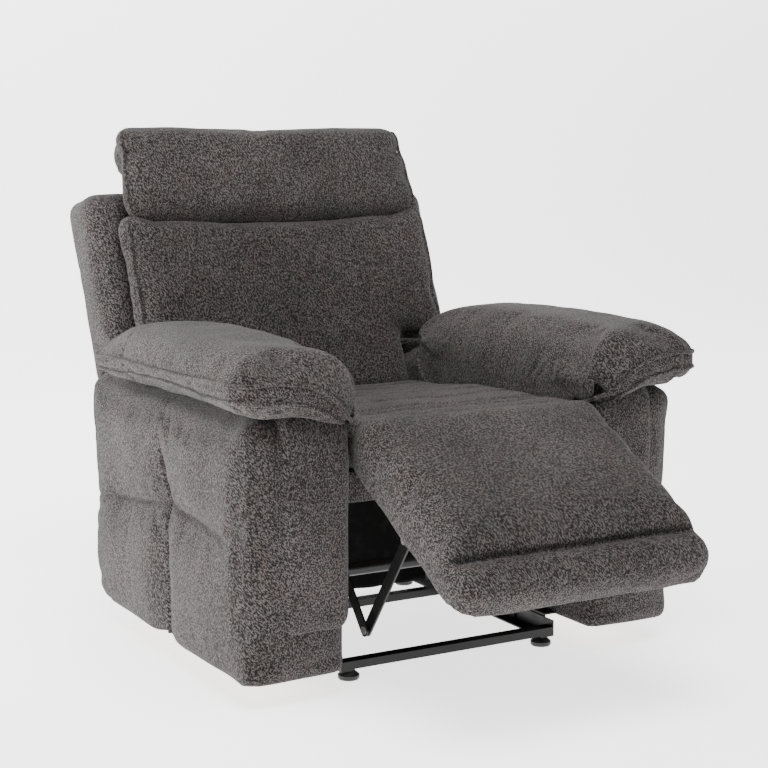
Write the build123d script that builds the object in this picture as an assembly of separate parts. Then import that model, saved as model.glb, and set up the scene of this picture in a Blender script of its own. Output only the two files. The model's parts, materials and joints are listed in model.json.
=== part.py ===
from build123d import *
from math import atan2, cos, degrees, radians, sin
import os

# Manual recliner armchair, millimetres, +Z up. The sitter faces -Y, so their left hand is at +X.
# Everything is laid out with Y = 0 on the front face of the arms. At the end all nodes are moved
# along Y together, so that the origin is the centre of the bounding box, on the floor.
# It is drawn with the footrest half open and the back upright, which is its rest position.

# ---------------------------------------------------------------- driving dimensions: arms
SEAT_GAP = 545.0              # clear width between the two arms
ARM_WIDTH = 197.5
ARM_DEPTH = 780.0
ARM_BOTTOM = 56.0             # the arms hang clear of the floor on the base
ARM_TOP = 530.0
ARM_PADDING = 18.0            # foam and fabric over the arm's boards
ARM_INNER_PADDING = 6.0       # and on the side towards the seat
ARM_BOARD = 15.0              # plywood
ARM_OUTER_ROUND = 32.0
ARM_FRONT_TOP_ROUND = 50.0
ARM_FRONT_BOTTOM_ROUND = 40.0
ARM_REAR_TOP_ROUND = 50.0
ARM_REAR_BOTTOM_ROUND = 95.0
FRONT_PAD_WIDTH = 138.0       # the raised pad on the front of each arm
FRONT_PAD_INSET = 2.0
FRONT_PAD_THICK = 16.0
FRONT_PAD_BOTTOM = 132.0
FRONT_PAD_ROUND = 30.0
PILLOW_PAST_OUTSIDE = 48.0    # how far the arm pillow stands past the arm
PILLOW_PAST_INSIDE = 13.0
PILLOW_PAST_FRONT = 52.0
PILLOW_REAR_GAP = 92.0        # from the pillow's rear to the arm's
PILLOW_CROWN = 120.0          # height over the arm's top
PILLOW_EDGE_LOW = 31.0        # lower and upper welt of the pillow's outer edge, over the arm's top
PILLOW_EDGE_HIGH = 70.0
PILLOW_FRONT_DROP = 46.0      # the front of the pillow is lower than its crown
PILLOW_REAR_DROP = 54.0
PILLOW_ROUND = 30.0
SKIRT_DROP = 70.0             # the pillow's flap that hangs down inside the arm
SKIRT_GAP = 0.3               # between the flap and the arm's side
SKIRT_FRONT = 78.0
SKIRT_FRONT_RIGHT = 204.0     # the right flap leaves room for the release lever
SKIRT_REAR_GAP = 140.0        # from the flap's rear to the arm's

# ---------------------------------------------------------------- driving dimensions: base
FOOT_HEIGHT = 18.0
FOOT_RADIUS = 21.0
FOOT_INSET = 50.5             # from the arm's inner face to the foot's centre
FOOT_FRONT_Y = 94.0
FOOT_REAR_GAP = 134.0         # from the foot's centre to the arm's rear
STEEL = 3.0                   # wall of the angle iron
STRETCHER_HEIGHT = 16.0
STRETCHER_DEPTH = 26.0
MIDDLE_STRETCHER_GAP = 310.0  # to the arm's rear
RAIL_HEIGHT = 33.0
RAIL_FOOT_WIDTH = 30.0
BRACKET_FRONT_Y = 150.0
BRACKET_REAR_GAP = 180.0      # to the arm's rear
BRACKET_LENGTH = 70.0
BRACKET_REACH = 85.0
BOLT_RADIUS = 4.0
BOLT_HOLE_CLEARANCE = 0.1
BOLT_HEAD_RADIUS = 7.0
BOLT_HEAD_HEIGHT = 4.0

# ---------------------------------------------------------------- driving dimensions: mechanism
LAYER = 4.0                   # thickness of every link and plate
LAYER_GAP = 2.0
OUTER_LAYER_INSET = 34.5      # from the arm's inner face to the inner face of the base plate
LINK_WIDTH = 24.0
PLATE_LEG = 36.0              # width of the plates' legs and ears
PIN_RADIUS = 5.0
PIN_CLEARANCE = 0.05          # radial running clearance of a pin in its hole
HEAD_RADIUS = 8.0
HEAD_THICK = 1.4
HEAD_GAP = 0.3                # between a pin's head and the link that turns under it
SWING_FRONT_PIVOT = (250.0, 90.0)
SWING_REAR_PIVOT = (ARM_DEPTH - 220.0, 90.0)
SWING_LENGTH = 112.0
SWING_LEAN = 14.0             # degrees that the swing links lean back at rest
CRANK_PIVOT = (180.0, 283.0)
CRANK_LENGTH = 228.0
CRANK_ANGLE = 229.1           # degrees from +Y at rest, so the crank points forwards and down
TORQUE_TUBE_ALONG = 100.0     # from the crank's pivot
TORQUE_TUBE_RADIUS = 13.0
REAR_TUBE = (ARM_DEPTH - 186.0, 244.0)
REAR_TUBE_RADIUS = 12.0
TUBE_WALL = 2.0
LEVER_PIVOT = (182.0, 312.0)
LEVER_TOP = (130.0, 452.0)
LEVER_THICK = 4.0
LEVER_WIDTH = 20.0
LEVER_GAP = 6.0               # between the lever and the arm
GRIP_LENGTH = 66.0
GRIP_WIDTH = 28.0
GRIP_THICK = 11.0

# ---------------------------------------------------------------- driving dimensions: seat
SEAT_SIDE_GAP = 16.5          # between the seat and the arms
SEAT_FRONT = 67.0
SEAT_REAR_GAP = 140.0         # from the cushion's rear to the arm's
SEAT_TOP = 505.0
SEAT_SURFACE_DROP = 36.0      # the seat surface is lower at the back than at the front
SEAT_FRONT_ROUND = 34.0
SEAT_REAR_ROUND = 20.0
SEAT_FRAME_BOTTOM = 350.0
SEAT_FRAME_HEIGHT = 50.0
SEAT_FRAME_FRONT = 76.0
SEAT_FRAME_REAR_INSET = 8.0   # under the cushion
SEAT_FRAME_SIDE_GAP = 18.5
SEAT_RAIL = 40.0
PLATE_RAIL_FRONT = 96.0
PLATE_RAIL_HEIGHT = 34.0
PLATE_FLANGE = 12.0
SPRING_WIRE = 3.6
SPRING_HALF_WIDTH = 20.0
SPRING_PITCH = 48.0
SPRING_BEND = 9.0
SPRING_END = 20.0             # how far a spring's ends reach over the rails
SPRING_LIFT = 0.4             # the clips hold the wire just clear of the wood
SEAT_SPRINGS = 5
CUSHION_GAP = 1.0             # between the springs and the cushion
CURTAIN_REAR_GAP = 260.0      # from the dust curtain to the arm's rear
CURTAIN_BOTTOM = 42.0
CURTAIN_THICK = 1.5
CURTAIN_SIDE_GAP = 6.0        # beside the linkage

# ---------------------------------------------------------------- driving dimensions: back
BACK_PIVOT = (ARM_DEPTH - 60.0, 340.0)
BACK_LEAN = 22.0              # degrees from upright at rest
# In the back's own frame, DEPTH runs rearwards from the pivot, and HEIGHT runs up along the back.
CUSHION_DEPTH = -100.0        # front of the cushion
SPLIT_DEPTH = -36.0           # rear of the cushion
PANEL_DEPTH = 105.0           # front of the outside back panel
PANEL_THICK = 16.0
FRAME_REAR_DEPTH = 24.0
BACK_LOW_HEIGHT = 72.0
PANEL_LOW_HEIGHT = -170.0     # the outside back hangs below the hinge
SHELL_HEIGHT = 632.0
SHELL_ROUND = 46.0
HEADREST_SEAM_HEIGHT = 498.0
HEADREST_GAP = 0.4
HEADREST_TOP_HEIGHT = 734.0
HEADREST_REAR_DEPTH = 46.0
HEADREST_SHELL_GAP = 2.0
HEADREST_ROUND = 42.0
SHELL_HALF_WIDTH = 412.0
CUSHION_HALF_WIDTH = 380.0
HEADREST_HALF_WIDTH = 366.0
BACK_SIDE_GAP = 10.5          # between the low part of the back and the arms
WING_CLEARANCE = 35.0         # under the wings, over the arms
WING_BEHIND_ARM = 20.0        # between the arm and the part of the shell that hangs behind it
WING_FLAP_BOTTOM = 440.0
WING_ROUND = 12.0
BACK_FRAME_SIDE_GAP = 40.5    # from the stiles to the plane of the arm's inner face
BACK_STILE = 22.0
BACK_RAIL = 32.0
BACK_FRAME_END_GAP = 4.0
BACK_STRAPS = 5
STRAP_WIDTH = 50.0
STRAP_THICK = 2.0
BACK_BRACKET_TOP = 330.0
BOARD_HALF_WIDTH = 300.0      # plywood inside the headrest
BOARD_THICK = 12.0
BOARD_LOW_HEIGHT = 560.0
BOARD_TOP_HEIGHT = 694.0

# ---------------------------------------------------------------- driving dimensions: footrest
FOOTREST_SIDE_GAP = 5.5       # between the footrest and the arms
FOOTREST_LENGTH = 468.0
FOOTREST_CORNER = (45.0, 455.0)     # rear lower edge of the pad at rest
FOOTREST_SLOPE = 28.0               # degrees below level at rest
FOOTREST_HINGE = (32.0, 486.0)      # the line where the chaise panel bends
FOOTREST_REAR_THICK = 68.0
FOOTREST_CROWN = 94.0
FOOTREST_TOE_THICK = 72.0
FOOTREST_BOARD = 12.0
FOOTREST_BOARD_SIDE_INSET = 17.0
FOOTREST_BOARD_REAR_INSET = 6.0
FOOTREST_BOARD_TOE_INSET = 24.0
FOOTREST_BRACKET_LENGTH = 130.0
FOOTREST_FLANGE = 26.0

# ---------------------------------------------------------------- worked out from those
HALF_GAP = SEAT_GAP / 2
ARM_OUTER = HALF_GAP + ARM_WIDTH
SEAT_HALF_WIDTH = HALF_GAP - SEAT_SIDE_GAP
SEAT_FRAME_HALF_WIDTH = HALF_GAP - SEAT_FRAME_SIDE_GAP
SEAT_FRAME_TOP = SEAT_FRAME_BOTTOM + SEAT_FRAME_HEIGHT
BACK_LOW_HALF_WIDTH = HALF_GAP - BACK_SIDE_GAP
BACK_FRAME_HALF_WIDTH = HALF_GAP - BACK_FRAME_SIDE_GAP
PILLOW_REAR = ARM_DEPTH - PILLOW_REAR_GAP
SKIRT_REAR = ARM_DEPTH - SKIRT_REAR_GAP
FOOT_X = HALF_GAP - FOOT_INSET
FOOT_REAR_Y = ARM_DEPTH - FOOT_REAR_GAP
MIDDLE_STRETCHER_Y = ARM_DEPTH - MIDDLE_STRETCHER_GAP
BRACKET_REAR_Y = ARM_DEPTH - BRACKET_REAR_GAP
SEAT_REAR = ARM_DEPTH - SEAT_REAR_GAP
SEAT_FRAME_REAR = SEAT_REAR - SEAT_FRAME_REAR_INSET
WING_Z = ARM_TOP + WING_CLEARANCE
SHELL_DEPTH = PANEL_DEPTH + PANEL_THICK
RUNNING_HOLE = PIN_RADIUS + PIN_CLEARANCE


# ---------------------------------------------------------------- helpers
def across(outline, low, high):
    """Extrudes an outline in the Y-Z plane across the chair, from x = low to x = high."""
    return extrude(Plane.YZ.offset(low) * outline, amount=high - low)


def polygon(*points):
    return make_face(Polyline(*points, close=True))


def rounded(*corners):
    """A closed outline with its own radius at every corner: (y, z, radius), ..."""
    points = [(y, z) for y, z, _ in corners]
    return make_face(FilletPolyline(*points, radius=[radius for _, _, radius in corners], close=True))


def disc(centre, radius):
    return Pos(*centre) * Circle(radius)


def rod(centre, radius, low, high):
    """A round bar along X, with its axis at (y, z) = centre."""
    return across(disc(centre, radius), low, high)


def bar(start, end, width):
    """The outline of a link with round ends, round the two points."""
    run_y, run_z = end[0] - start[0], end[1] - start[1]
    middle = ((start[0] + end[0]) / 2, (start[1] + end[1]) / 2)
    angle = degrees(atan2(run_z, run_y))
    return Pos(*middle) * Rot(0, 0, angle) * SlotCenterToCenter((run_y**2 + run_z**2) ** 0.5, width)


def polar(centre, length, angle):
    """The point at that length and angle, in degrees from +Y towards +Z."""
    return (centre[0] + length * cos(radians(angle)), centre[1] + length * sin(radians(angle)))


def slab(x_low, x_high, y_low, y_high, z_low, z_high):
    return Pos(x_low, y_low, z_low) * Box(x_high - x_low, y_high - y_low, z_high - z_low,
                                          align=(Align.MIN, Align.MIN, Align.MIN))


def mirrored(shape):
    return mirror(shape, about=Plane.YZ)


def layer(number):
    """The two faces of a mechanism layer. Layer 0 is the base plate, and the others lie inside it."""
    low = HALF_GAP - OUTER_LAYER_INSET - number * (LAYER + LAYER_GAP)
    return low, low + LAYER


def plate(number, outline, pressed=(), running=()):
    """A plate in a layer, with its pressed and running pin holes."""
    low, high = layer(number)
    shape = across(outline, low, high)
    for centre in pressed:
        shape -= rod(centre, PIN_RADIUS, low - 1, high + 1)
    for centre in running:
        shape -= rod(centre, RUNNING_HOLE, low - 1, high + 1)
    return shape


def pin(centre, pressed_layer, running_layer):
    """A headed pin that is pressed into one layer and carries the link in the layer next to it."""
    low = min(layer(pressed_layer)[0], layer(running_layer)[0])
    high = max(layer(pressed_layer)[1], layer(running_layer)[1])
    gap_low = 0 if layer(pressed_layer)[0] == low else HEAD_GAP
    gap_high = HEAD_GAP if gap_low == 0 else 0
    shaft = rod(centre, PIN_RADIUS, low - gap_low, high + gap_high)
    inner_head = rod(centre, HEAD_RADIUS, low - gap_low - HEAD_THICK, low - gap_low)
    outer_head = rod(centre, HEAD_RADIUS, high + gap_high, high + gap_high + HEAD_THICK)
    return shaft + inner_head + outer_head


def tube(centre, radius, half_length):
    return rod(centre, radius, -half_length, half_length) - rod(centre, radius - TUBE_WALL,
                                                                 -half_length - 1, half_length + 1)


def sinuous(start, along, sideways, length):
    """A zigzag spring wire, bent round at every turn, in the plane of along and sideways."""
    start, along, sideways = Vector(*start), Vector(*along), Vector(*sideways)
    points = [start, start + along * (SPRING_PITCH / 4)]
    step = SPRING_PITCH / 2
    turns = int((length - SPRING_PITCH / 2) / step)
    for turn in range(turns):
        side = SPRING_HALF_WIDTH if turn % 2 else -SPRING_HALF_WIDTH
        reached = along * (SPRING_PITCH / 4 + turn * step)
        points.append(start + reached + sideways * side)
        points.append(start + reached + along * step + sideways * side)
    points.append(start + along * (SPRING_PITCH / 4 + turns * step))
    points.append(start + along * length)
    path = FilletPolyline(*points, radius=SPRING_BEND)
    profile = Plane(origin=start, z_dir=along) * Circle(SPRING_WIRE / 2)
    return sweep(profile, path=path)


NODES = {}


def node(name, *shapes):
    """Collects the solids of one named piece."""
    NODES[name] = [solid for shape in shapes for solid in shape.solids()]


def side_nodes(name, shape):
    """The same piece on both sides of the chair."""
    node("left_" + name, shape)
    node("right_" + name, mirrored(shape))


def both_sides(name, *shapes):
    """One node that holds the pieces of both sides."""
    node(name, *shapes, *[mirrored(shape) for shape in shapes])


# ---------------------------------------------------------------- where the mechanism's pivots are
swing_front_top = polar(SWING_FRONT_PIVOT, SWING_LENGTH, 90 - SWING_LEAN)
swing_rear_top = polar(SWING_REAR_PIVOT, SWING_LENGTH, 90 - SWING_LEAN)
# The crank runs parallel to a line from the footrest's hinge line to its bracket pin, and the
# coupler runs parallel to a line from the crank's pivot to the hinge line: a parallelogram.
crank_end = polar(CRANK_PIVOT, CRANK_LENGTH, CRANK_ANGLE)
footrest_pin = polar(FOOTREST_HINGE, CRANK_LENGTH, CRANK_ANGLE)


# ---------------------------------------------------------------- arms
def arm_outline():
    return rounded((0, ARM_BOTTOM, ARM_FRONT_BOTTOM_ROUND),
                   (ARM_DEPTH, ARM_BOTTOM, ARM_REAR_BOTTOM_ROUND),
                   (ARM_DEPTH, ARM_TOP, ARM_REAR_TOP_ROUND),
                   (0, ARM_TOP, ARM_FRONT_TOP_ROUND))


def arm_board_points(inset=0.0):
    """The outline of the arm's side boards. The rear lower corner is cut off under the rounding."""
    front, rear, top = ARM_PADDING + inset, ARM_DEPTH - ARM_PADDING - inset, ARM_TOP - ARM_PADDING - inset
    return [(front, ARM_BOTTOM + inset), (ARM_DEPTH - ARM_REAR_BOTTOM_ROUND - inset / 2, ARM_BOTTOM + inset),
            (rear, ARM_BOTTOM + ARM_REAR_BOTTOM_ROUND + inset / 2), (rear, top), (front, top)]


ARM_BOARDS_INNER = HALF_GAP + ARM_INNER_PADDING
ARM_BOARDS_OUTER = ARM_OUTER - ARM_PADDING
BRACKET_YS = (BRACKET_FRONT_Y, BRACKET_REAR_Y)
BRACKET_INNER = layer(0)[1] + STEEL
BOLT_X = (ARM_BOARDS_INNER + ARM_BOARD + BRACKET_INNER + BRACKET_REACH) / 2


def bolt_hole(y, low, high):
    return Pos(BOLT_X, y, low) * Cylinder(BOLT_RADIUS + BOLT_HOLE_CLEARANCE, high - low,
                                          align=(Align.CENTER, Align.CENTER, Align.MIN))


def arm_frame():
    """Two side boards with a ring of boards between them, one of them a stud in the middle."""
    inner = across(polygon(*arm_board_points()), ARM_BOARDS_INNER, ARM_BOARDS_INNER + ARM_BOARD)
    outer = across(polygon(*arm_board_points()), ARM_BOARDS_OUTER - ARM_BOARD, ARM_BOARDS_OUTER)
    ring_outline = polygon(*arm_board_points()) - polygon(*arm_board_points(ARM_BOARD))
    ring = across(ring_outline, ARM_BOARDS_INNER + ARM_BOARD, ARM_BOARDS_OUTER - ARM_BOARD)
    for y in BRACKET_YS:
        ring -= bolt_hole(y, ARM_BOTTOM - 1, ARM_BOTTOM + ARM_BOARD + 1)
    middle = ARM_DEPTH / 2
    stud = slab(ARM_BOARDS_INNER + ARM_BOARD, ARM_BOARDS_OUTER - ARM_BOARD, middle, middle + ARM_BOARD,
                ARM_BOTTOM + ARM_BOARD, ARM_TOP - ARM_PADDING - ARM_BOARD)
    return [inner, outer, ring, stud]


def arm_cover():
    """Foam and fabric: a rounded box round the boards, open underneath."""
    body = across(arm_outline(), HALF_GAP, ARM_OUTER)
    rim = body.edges().filter_by(lambda edge: edge.center().X > ARM_OUTER - 0.1)
    body = fillet(rim, ARM_OUTER_ROUND)
    return body - across(polygon(*arm_board_points()), ARM_BOARDS_INNER, ARM_BOARDS_OUTER)


def arm_front_pad():
    low_x = HALF_GAP + FRONT_PAD_INSET
    top = ARM_TOP - ARM_FRONT_TOP_ROUND
    size_x, size_z = FRONT_PAD_WIDTH, top - FRONT_PAD_BOTTOM
    face = Pos(low_x + size_x / 2, FRONT_PAD_BOTTOM + size_z / 2) * RectangleRounded(size_x, size_z,
                                                                                     FRONT_PAD_ROUND)
    pad = extrude(Plane.XZ * face, amount=FRONT_PAD_THICK)
    return chamfer(pad.faces().sort_by(Axis.Y)[0].edges(), FRONT_PAD_THICK / 3)


def arm_pillow(skirt_front):
    """A thick pillow over the arm. Its inner side hangs down beside the seat as a flap."""
    inside, outside = HALF_GAP - PILLOW_PAST_INSIDE, ARM_OUTER + PILLOW_PAST_OUTSIDE
    low, high, crown = ARM_TOP + PILLOW_EDGE_LOW, ARM_TOP + PILLOW_EDGE_HIGH, ARM_TOP + PILLOW_CROWN
    middle = (HALF_GAP + ARM_OUTER) / 2
    section = polygon((middle, crown), (outside, high), (outside, low),
                      (ARM_OUTER - ARM_OUTER_ROUND, ARM_TOP), (inside, ARM_TOP), (inside, low),
                      ((inside + middle) / 2, crown - PILLOW_ROUND / 2))
    front, rear = -PILLOW_PAST_FRONT, PILLOW_REAR
    body = extrude(Plane.XZ.offset(-rear) * section, amount=rear - front)
    side = polygon((front, ARM_TOP), (rear, ARM_TOP), (rear, crown - PILLOW_REAR_DROP),
                   (rear - ARM_WIDTH / 2, crown), (ARM_WIDTH / 2, crown), (front, crown - PILLOW_FRONT_DROP))
    body &= across(side, inside - 1, outside + 1)
    skirt = slab(inside, HALF_GAP - SKIRT_GAP, skirt_front, SKIRT_REAR, ARM_TOP - SKIRT_DROP, ARM_TOP + 1)
    return body + skirt


side_nodes("arm_cover", arm_cover())
side_nodes("arm_front_pad", arm_front_pad())
arm_boards = arm_frame()
node("left_arm_frame", *arm_boards)
node("right_arm_frame", *[mirrored(board) for board in arm_boards])
node("left_arm_pillow", arm_pillow(SKIRT_FRONT))
node("right_arm_pillow", mirrored(arm_pillow(SKIRT_FRONT_RIGHT)))

# ---------------------------------------------------------------- base
RAIL_BOTTOM = FOOT_HEIGHT
RAIL_INNER = layer(0)[1]            # the base plates are bolted to this face of the rails
RAIL_FRONT = FOOT_FRONT_Y - STRETCHER_DEPTH / 2
RAIL_REAR = FOOT_REAR_Y + STRETCHER_DEPTH / 2
RAIL_TOP = RAIL_BOTTOM + RAIL_HEIGHT


def foot():
    profile = Polyline((0, 0), (FOOT_RADIUS - 2, 0), (FOOT_RADIUS, 3), (FOOT_RADIUS, FOOT_HEIGHT / 2),
                       (FOOT_RADIUS / 2, FOOT_HEIGHT), (0, FOOT_HEIGHT), close=True)
    return revolve(Plane.XZ * make_face(profile), axis=Axis.Z)


def base_rail():
    """Angle iron, with its flat leg on the feet and its upright leg against the base plate."""
    upright = slab(RAIL_INNER, RAIL_INNER + STEEL, RAIL_FRONT, RAIL_REAR, RAIL_BOTTOM, RAIL_TOP)
    flat = slab(RAIL_INNER + STEEL - RAIL_FOOT_WIDTH, RAIL_INNER + STEEL, RAIL_FRONT, RAIL_REAR,
                RAIL_BOTTOM, RAIL_BOTTOM + STEEL)
    return upright + flat


def stretcher(y, half):
    """A channel, open at the bottom, that joins the two rails, or the two base plates."""
    low_z = RAIL_BOTTOM + STEEL
    depth = STRETCHER_DEPTH / 2
    outer = slab(-half, half, y - depth, y + depth, low_z, low_z + STRETCHER_HEIGHT)
    return outer - slab(-half - 1, half + 1, y - depth + STEEL, y + depth - STEEL,
                        low_z - 1, low_z + STRETCHER_HEIGHT - STEEL)


def base_plate():
    floor = RAIL_BOTTOM + STEEL
    rail_y = (SWING_FRONT_PIVOT[0] - PLATE_LEG, SWING_REAR_PIVOT[0] + PLATE_LEG)
    shape = polygon((rail_y[0], floor), (rail_y[1], floor), (rail_y[1], RAIL_TOP), (rail_y[0], RAIL_TOP))
    for pivot in (SWING_FRONT_PIVOT, SWING_REAR_PIVOT):
        shape += bar((pivot[0], RAIL_TOP - PLATE_LEG / 4), pivot, PLATE_LEG)
    shape -= polygon((rail_y[0] - 1, floor), (rail_y[1] + 1, floor), (rail_y[1] + 1, floor - PLATE_LEG),
                     (rail_y[0] - 1, floor - PLATE_LEG))
    return plate(0, shape, pressed=(SWING_FRONT_PIVOT, SWING_REAR_PIVOT))


def arm_bracket(y):
    """An angle from the rail's outer face to the underside of the arm."""
    low_y, high_y = y - BRACKET_LENGTH / 2, y + BRACKET_LENGTH / 2
    upright = slab(BRACKET_INNER, BRACKET_INNER + STEEL, low_y, high_y, RAIL_BOTTOM, ARM_BOTTOM)
    flat = slab(BRACKET_INNER, BRACKET_INNER + BRACKET_REACH, low_y, high_y, ARM_BOTTOM - STEEL, ARM_BOTTOM)
    return upright + flat - bolt_hole(y, ARM_BOTTOM - STEEL - 1, ARM_BOTTOM + 1)


def arm_bolt(y):
    low = ARM_BOTTOM - STEEL
    up = (Align.CENTER, Align.CENTER, Align.MIN)
    shaft = Pos(BOLT_X, y, low) * Cylinder(BOLT_RADIUS, STEEL + ARM_BOARD + BOLT_HEAD_HEIGHT, align=up)
    head = Pos(BOLT_X, y, low - BOLT_HEAD_HEIGHT) * Cylinder(BOLT_HEAD_RADIUS, BOLT_HEAD_HEIGHT, align=up)
    nut = Pos(BOLT_X, y, ARM_BOTTOM + ARM_BOARD) * Cylinder(BOLT_HEAD_RADIUS, BOLT_HEAD_HEIGHT, align=up)
    return shaft + head + nut


both_sides("glide_feet", *[Pos(FOOT_X, y, 0) * foot() for y in (FOOT_FRONT_Y, FOOT_REAR_Y)])
side_nodes("base_rail", base_rail())
side_nodes("base_plate", base_plate())
node("front_stretcher", stretcher(FOOT_FRONT_Y, RAIL_INNER))
node("middle_stretcher", stretcher(MIDDLE_STRETCHER_Y, layer(0)[0]))
node("rear_stretcher", stretcher(FOOT_REAR_Y, RAIL_INNER))
both_sides("arm_brackets", *[arm_bracket(y) for y in BRACKET_YS])
both_sides("arm_bolts", *[arm_bolt(y) for y in BRACKET_YS])
both_sides("base_pivot_pins", pin(SWING_FRONT_PIVOT, 0, 1), pin(SWING_REAR_PIVOT, 0, 1))


# ---------------------------------------------------------------- swing links
def swing_link(bottom, top):
    return plate(1, bar(bottom, top, LINK_WIDTH), running=(bottom, top))


both_sides("front_swing_links", swing_link(SWING_FRONT_PIVOT, swing_front_top))
both_sides("rear_swing_links", swing_link(SWING_REAR_PIVOT, swing_rear_top))


# ---------------------------------------------------------------- seat
def seat_plate():
    """The plate that carries the seat, the crank's pivot and the back's hinge."""
    top = SEAT_FRAME_BOTTOM
    middle = top - PLATE_RAIL_HEIGHT / 2
    rail = (PLATE_RAIL_FRONT, SEAT_FRAME_REAR)
    shape = polygon((rail[0], top - PLATE_RAIL_HEIGHT), (rail[1], top - PLATE_RAIL_HEIGHT), (rail[1], top),
                    (rail[0], top))
    shape += bar(CRANK_PIVOT, (CRANK_PIVOT[0] + LAYER, middle), PLATE_LEG)
    shape += bar(swing_front_top, (SWING_FRONT_PIVOT[0], middle), PLATE_LEG)
    shape += bar(swing_rear_top, (rail[1] - PLATE_LEG, middle), PLATE_LEG)
    shape += bar((rail[1] - PLATE_LEG, middle), BACK_PIVOT, PLATE_LEG)
    shape &= polygon((0, 0), (BACK_PIVOT[0] * 2, 0), (BACK_PIVOT[0] * 2, top), (rail[1] + LAYER, top),
                     (rail[1], top), (0, top)) + disc(BACK_PIVOT, PLATE_LEG / 2)
    pivots = (CRANK_PIVOT, swing_front_top, swing_rear_top, BACK_PIVOT)
    low_x = layer(2)[0]
    flange = slab(low_x - PLATE_FLANGE, low_x + LAYER / 2, rail[0], rail[1], top - STEEL, top)
    return plate(2, shape, pressed=pivots) + flange


def seat_frame():
    half, height = SEAT_FRAME_HALF_WIDTH, SEAT_FRAME_HEIGHT
    length = SEAT_FRAME_REAR - SEAT_FRAME_FRONT
    at = Pos(0, SEAT_FRAME_FRONT + length / 2, SEAT_FRAME_BOTTOM + height / 2)
    hole = Box(2 * (half - SEAT_RAIL), length - 2 * SEAT_RAIL, height + 2)
    return at * (Box(2 * half, length, height) - hole)


def seat_springs():
    z = SEAT_FRAME_TOP + SPRING_LIFT + SPRING_WIRE / 2
    start = SEAT_FRAME_FRONT + SEAT_RAIL - SPRING_END
    length = SEAT_FRAME_REAR - SEAT_FRAME_FRONT - 2 * (SEAT_RAIL - SPRING_END)
    spacing = 2 * (SEAT_FRAME_HALF_WIDTH - SEAT_RAIL) / SEAT_SPRINGS
    xs = [(number - (SEAT_SPRINGS - 1) / 2) * spacing for number in range(SEAT_SPRINGS)]
    return [sinuous((x, start, z), (0, 1, 0), (1, 0, 0), length) for x in xs]


def seat_cushion():
    bottom = SEAT_FRAME_TOP + SPRING_LIFT + SPRING_WIRE + CUSHION_GAP
    side = rounded((SEAT_FRONT, bottom, SEAT_REAR_ROUND / 2), (SEAT_REAR, bottom, SEAT_REAR_ROUND / 2),
                   (SEAT_REAR, SEAT_TOP - SEAT_SURFACE_DROP, SEAT_REAR_ROUND),
                   (SEAT_FRONT, SEAT_TOP, SEAT_FRONT_ROUND))
    return across(side, -SEAT_HALF_WIDTH, SEAT_HALF_WIDTH)


def dust_curtain():
    """Black cloth that hangs from the seat frame behind the footrest's linkage."""
    half, y = layer(4)[0] - CURTAIN_SIDE_GAP, ARM_DEPTH - CURTAIN_REAR_GAP
    return slab(-half, half, y, y + CURTAIN_THICK, CURTAIN_BOTTOM, SEAT_FRAME_BOTTOM)



side_nodes("seat_plate", seat_plate())
node("rear_cross_tube", tube(REAR_TUBE, REAR_TUBE_RADIUS, layer(2)[0]))
node("dust_curtain", dust_curtain())
node("seat_frame", seat_frame())
node("seat_springs", *seat_springs())
node("seat_cushion", seat_cushion())
both_sides("seat_pivot_pins", pin(CRANK_PIVOT, 2, 3), pin(swing_front_top, 2, 1), pin(swing_rear_top, 2, 1),
           pin(BACK_PIVOT, 2, 1))


# ---------------------------------------------------------------- back
def on_back(outline):
    """Moves an outline drawn as (depth, height) into the back's place."""
    return Pos(*BACK_PIVOT) * Rot(0, 0, -BACK_LEAN) * outline


def back_box(depth_low, depth_high, height_low, height_high):
    return on_back(polygon((depth_low, height_low), (depth_high, height_low),
                           (depth_high, height_high), (depth_low, height_high)))


def height_at(depth, z):
    """How high up the back a point at that depth is, when it is at that z at rest."""
    lean = radians(BACK_LEAN)
    return (z - BACK_PIVOT[1] + depth * sin(lean)) / cos(lean)


def back_yz(depth, height):
    lean = radians(BACK_LEAN)
    return (BACK_PIVOT[0] + depth * cos(lean) + height * sin(lean),
            BACK_PIVOT[1] - depth * sin(lean) + height * cos(lean))


def back_cushion():
    """A wide cushion whose low part is narrow, to go between the arms."""
    low = across(back_box(CUSHION_DEPTH, SPLIT_DEPTH, BACK_LOW_HEIGHT, HEADREST_SEAM_HEIGHT),
                 -BACK_LOW_HALF_WIDTH, BACK_LOW_HALF_WIDTH)
    wide = across(on_back(polygon((CUSHION_DEPTH, height_at(CUSHION_DEPTH, WING_Z)),
                                  (SPLIT_DEPTH, height_at(SPLIT_DEPTH, WING_Z)),
                                  (SPLIT_DEPTH, HEADREST_SEAM_HEIGHT),
                                  (CUSHION_DEPTH, HEADREST_SEAM_HEIGHT))),
                  -CUSHION_HALF_WIDTH, CUSHION_HALF_WIDTH)
    return low + wide


def headrest_cushion():
    """A bolster that rolls over the top of the shell, with a board inside."""
    roll = SHELL_HEIGHT + HEADREST_SHELL_GAP
    small = HEADREST_SHELL_GAP
    outline = rounded((CUSHION_DEPTH, HEADREST_SEAM_HEIGHT + HEADREST_GAP, small),
                      (SPLIT_DEPTH, HEADREST_SEAM_HEIGHT + HEADREST_GAP, small),
                      (SPLIT_DEPTH, roll, small / 2),
                      (HEADREST_REAR_DEPTH, roll, small),
                      (HEADREST_REAR_DEPTH, HEADREST_TOP_HEIGHT, HEADREST_ROUND),
                      (CUSHION_DEPTH, HEADREST_TOP_HEIGHT, HEADREST_ROUND))
    return across(on_back(outline), -HEADREST_HALF_WIDTH, HEADREST_HALF_WIDTH) - headrest_board()


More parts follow.
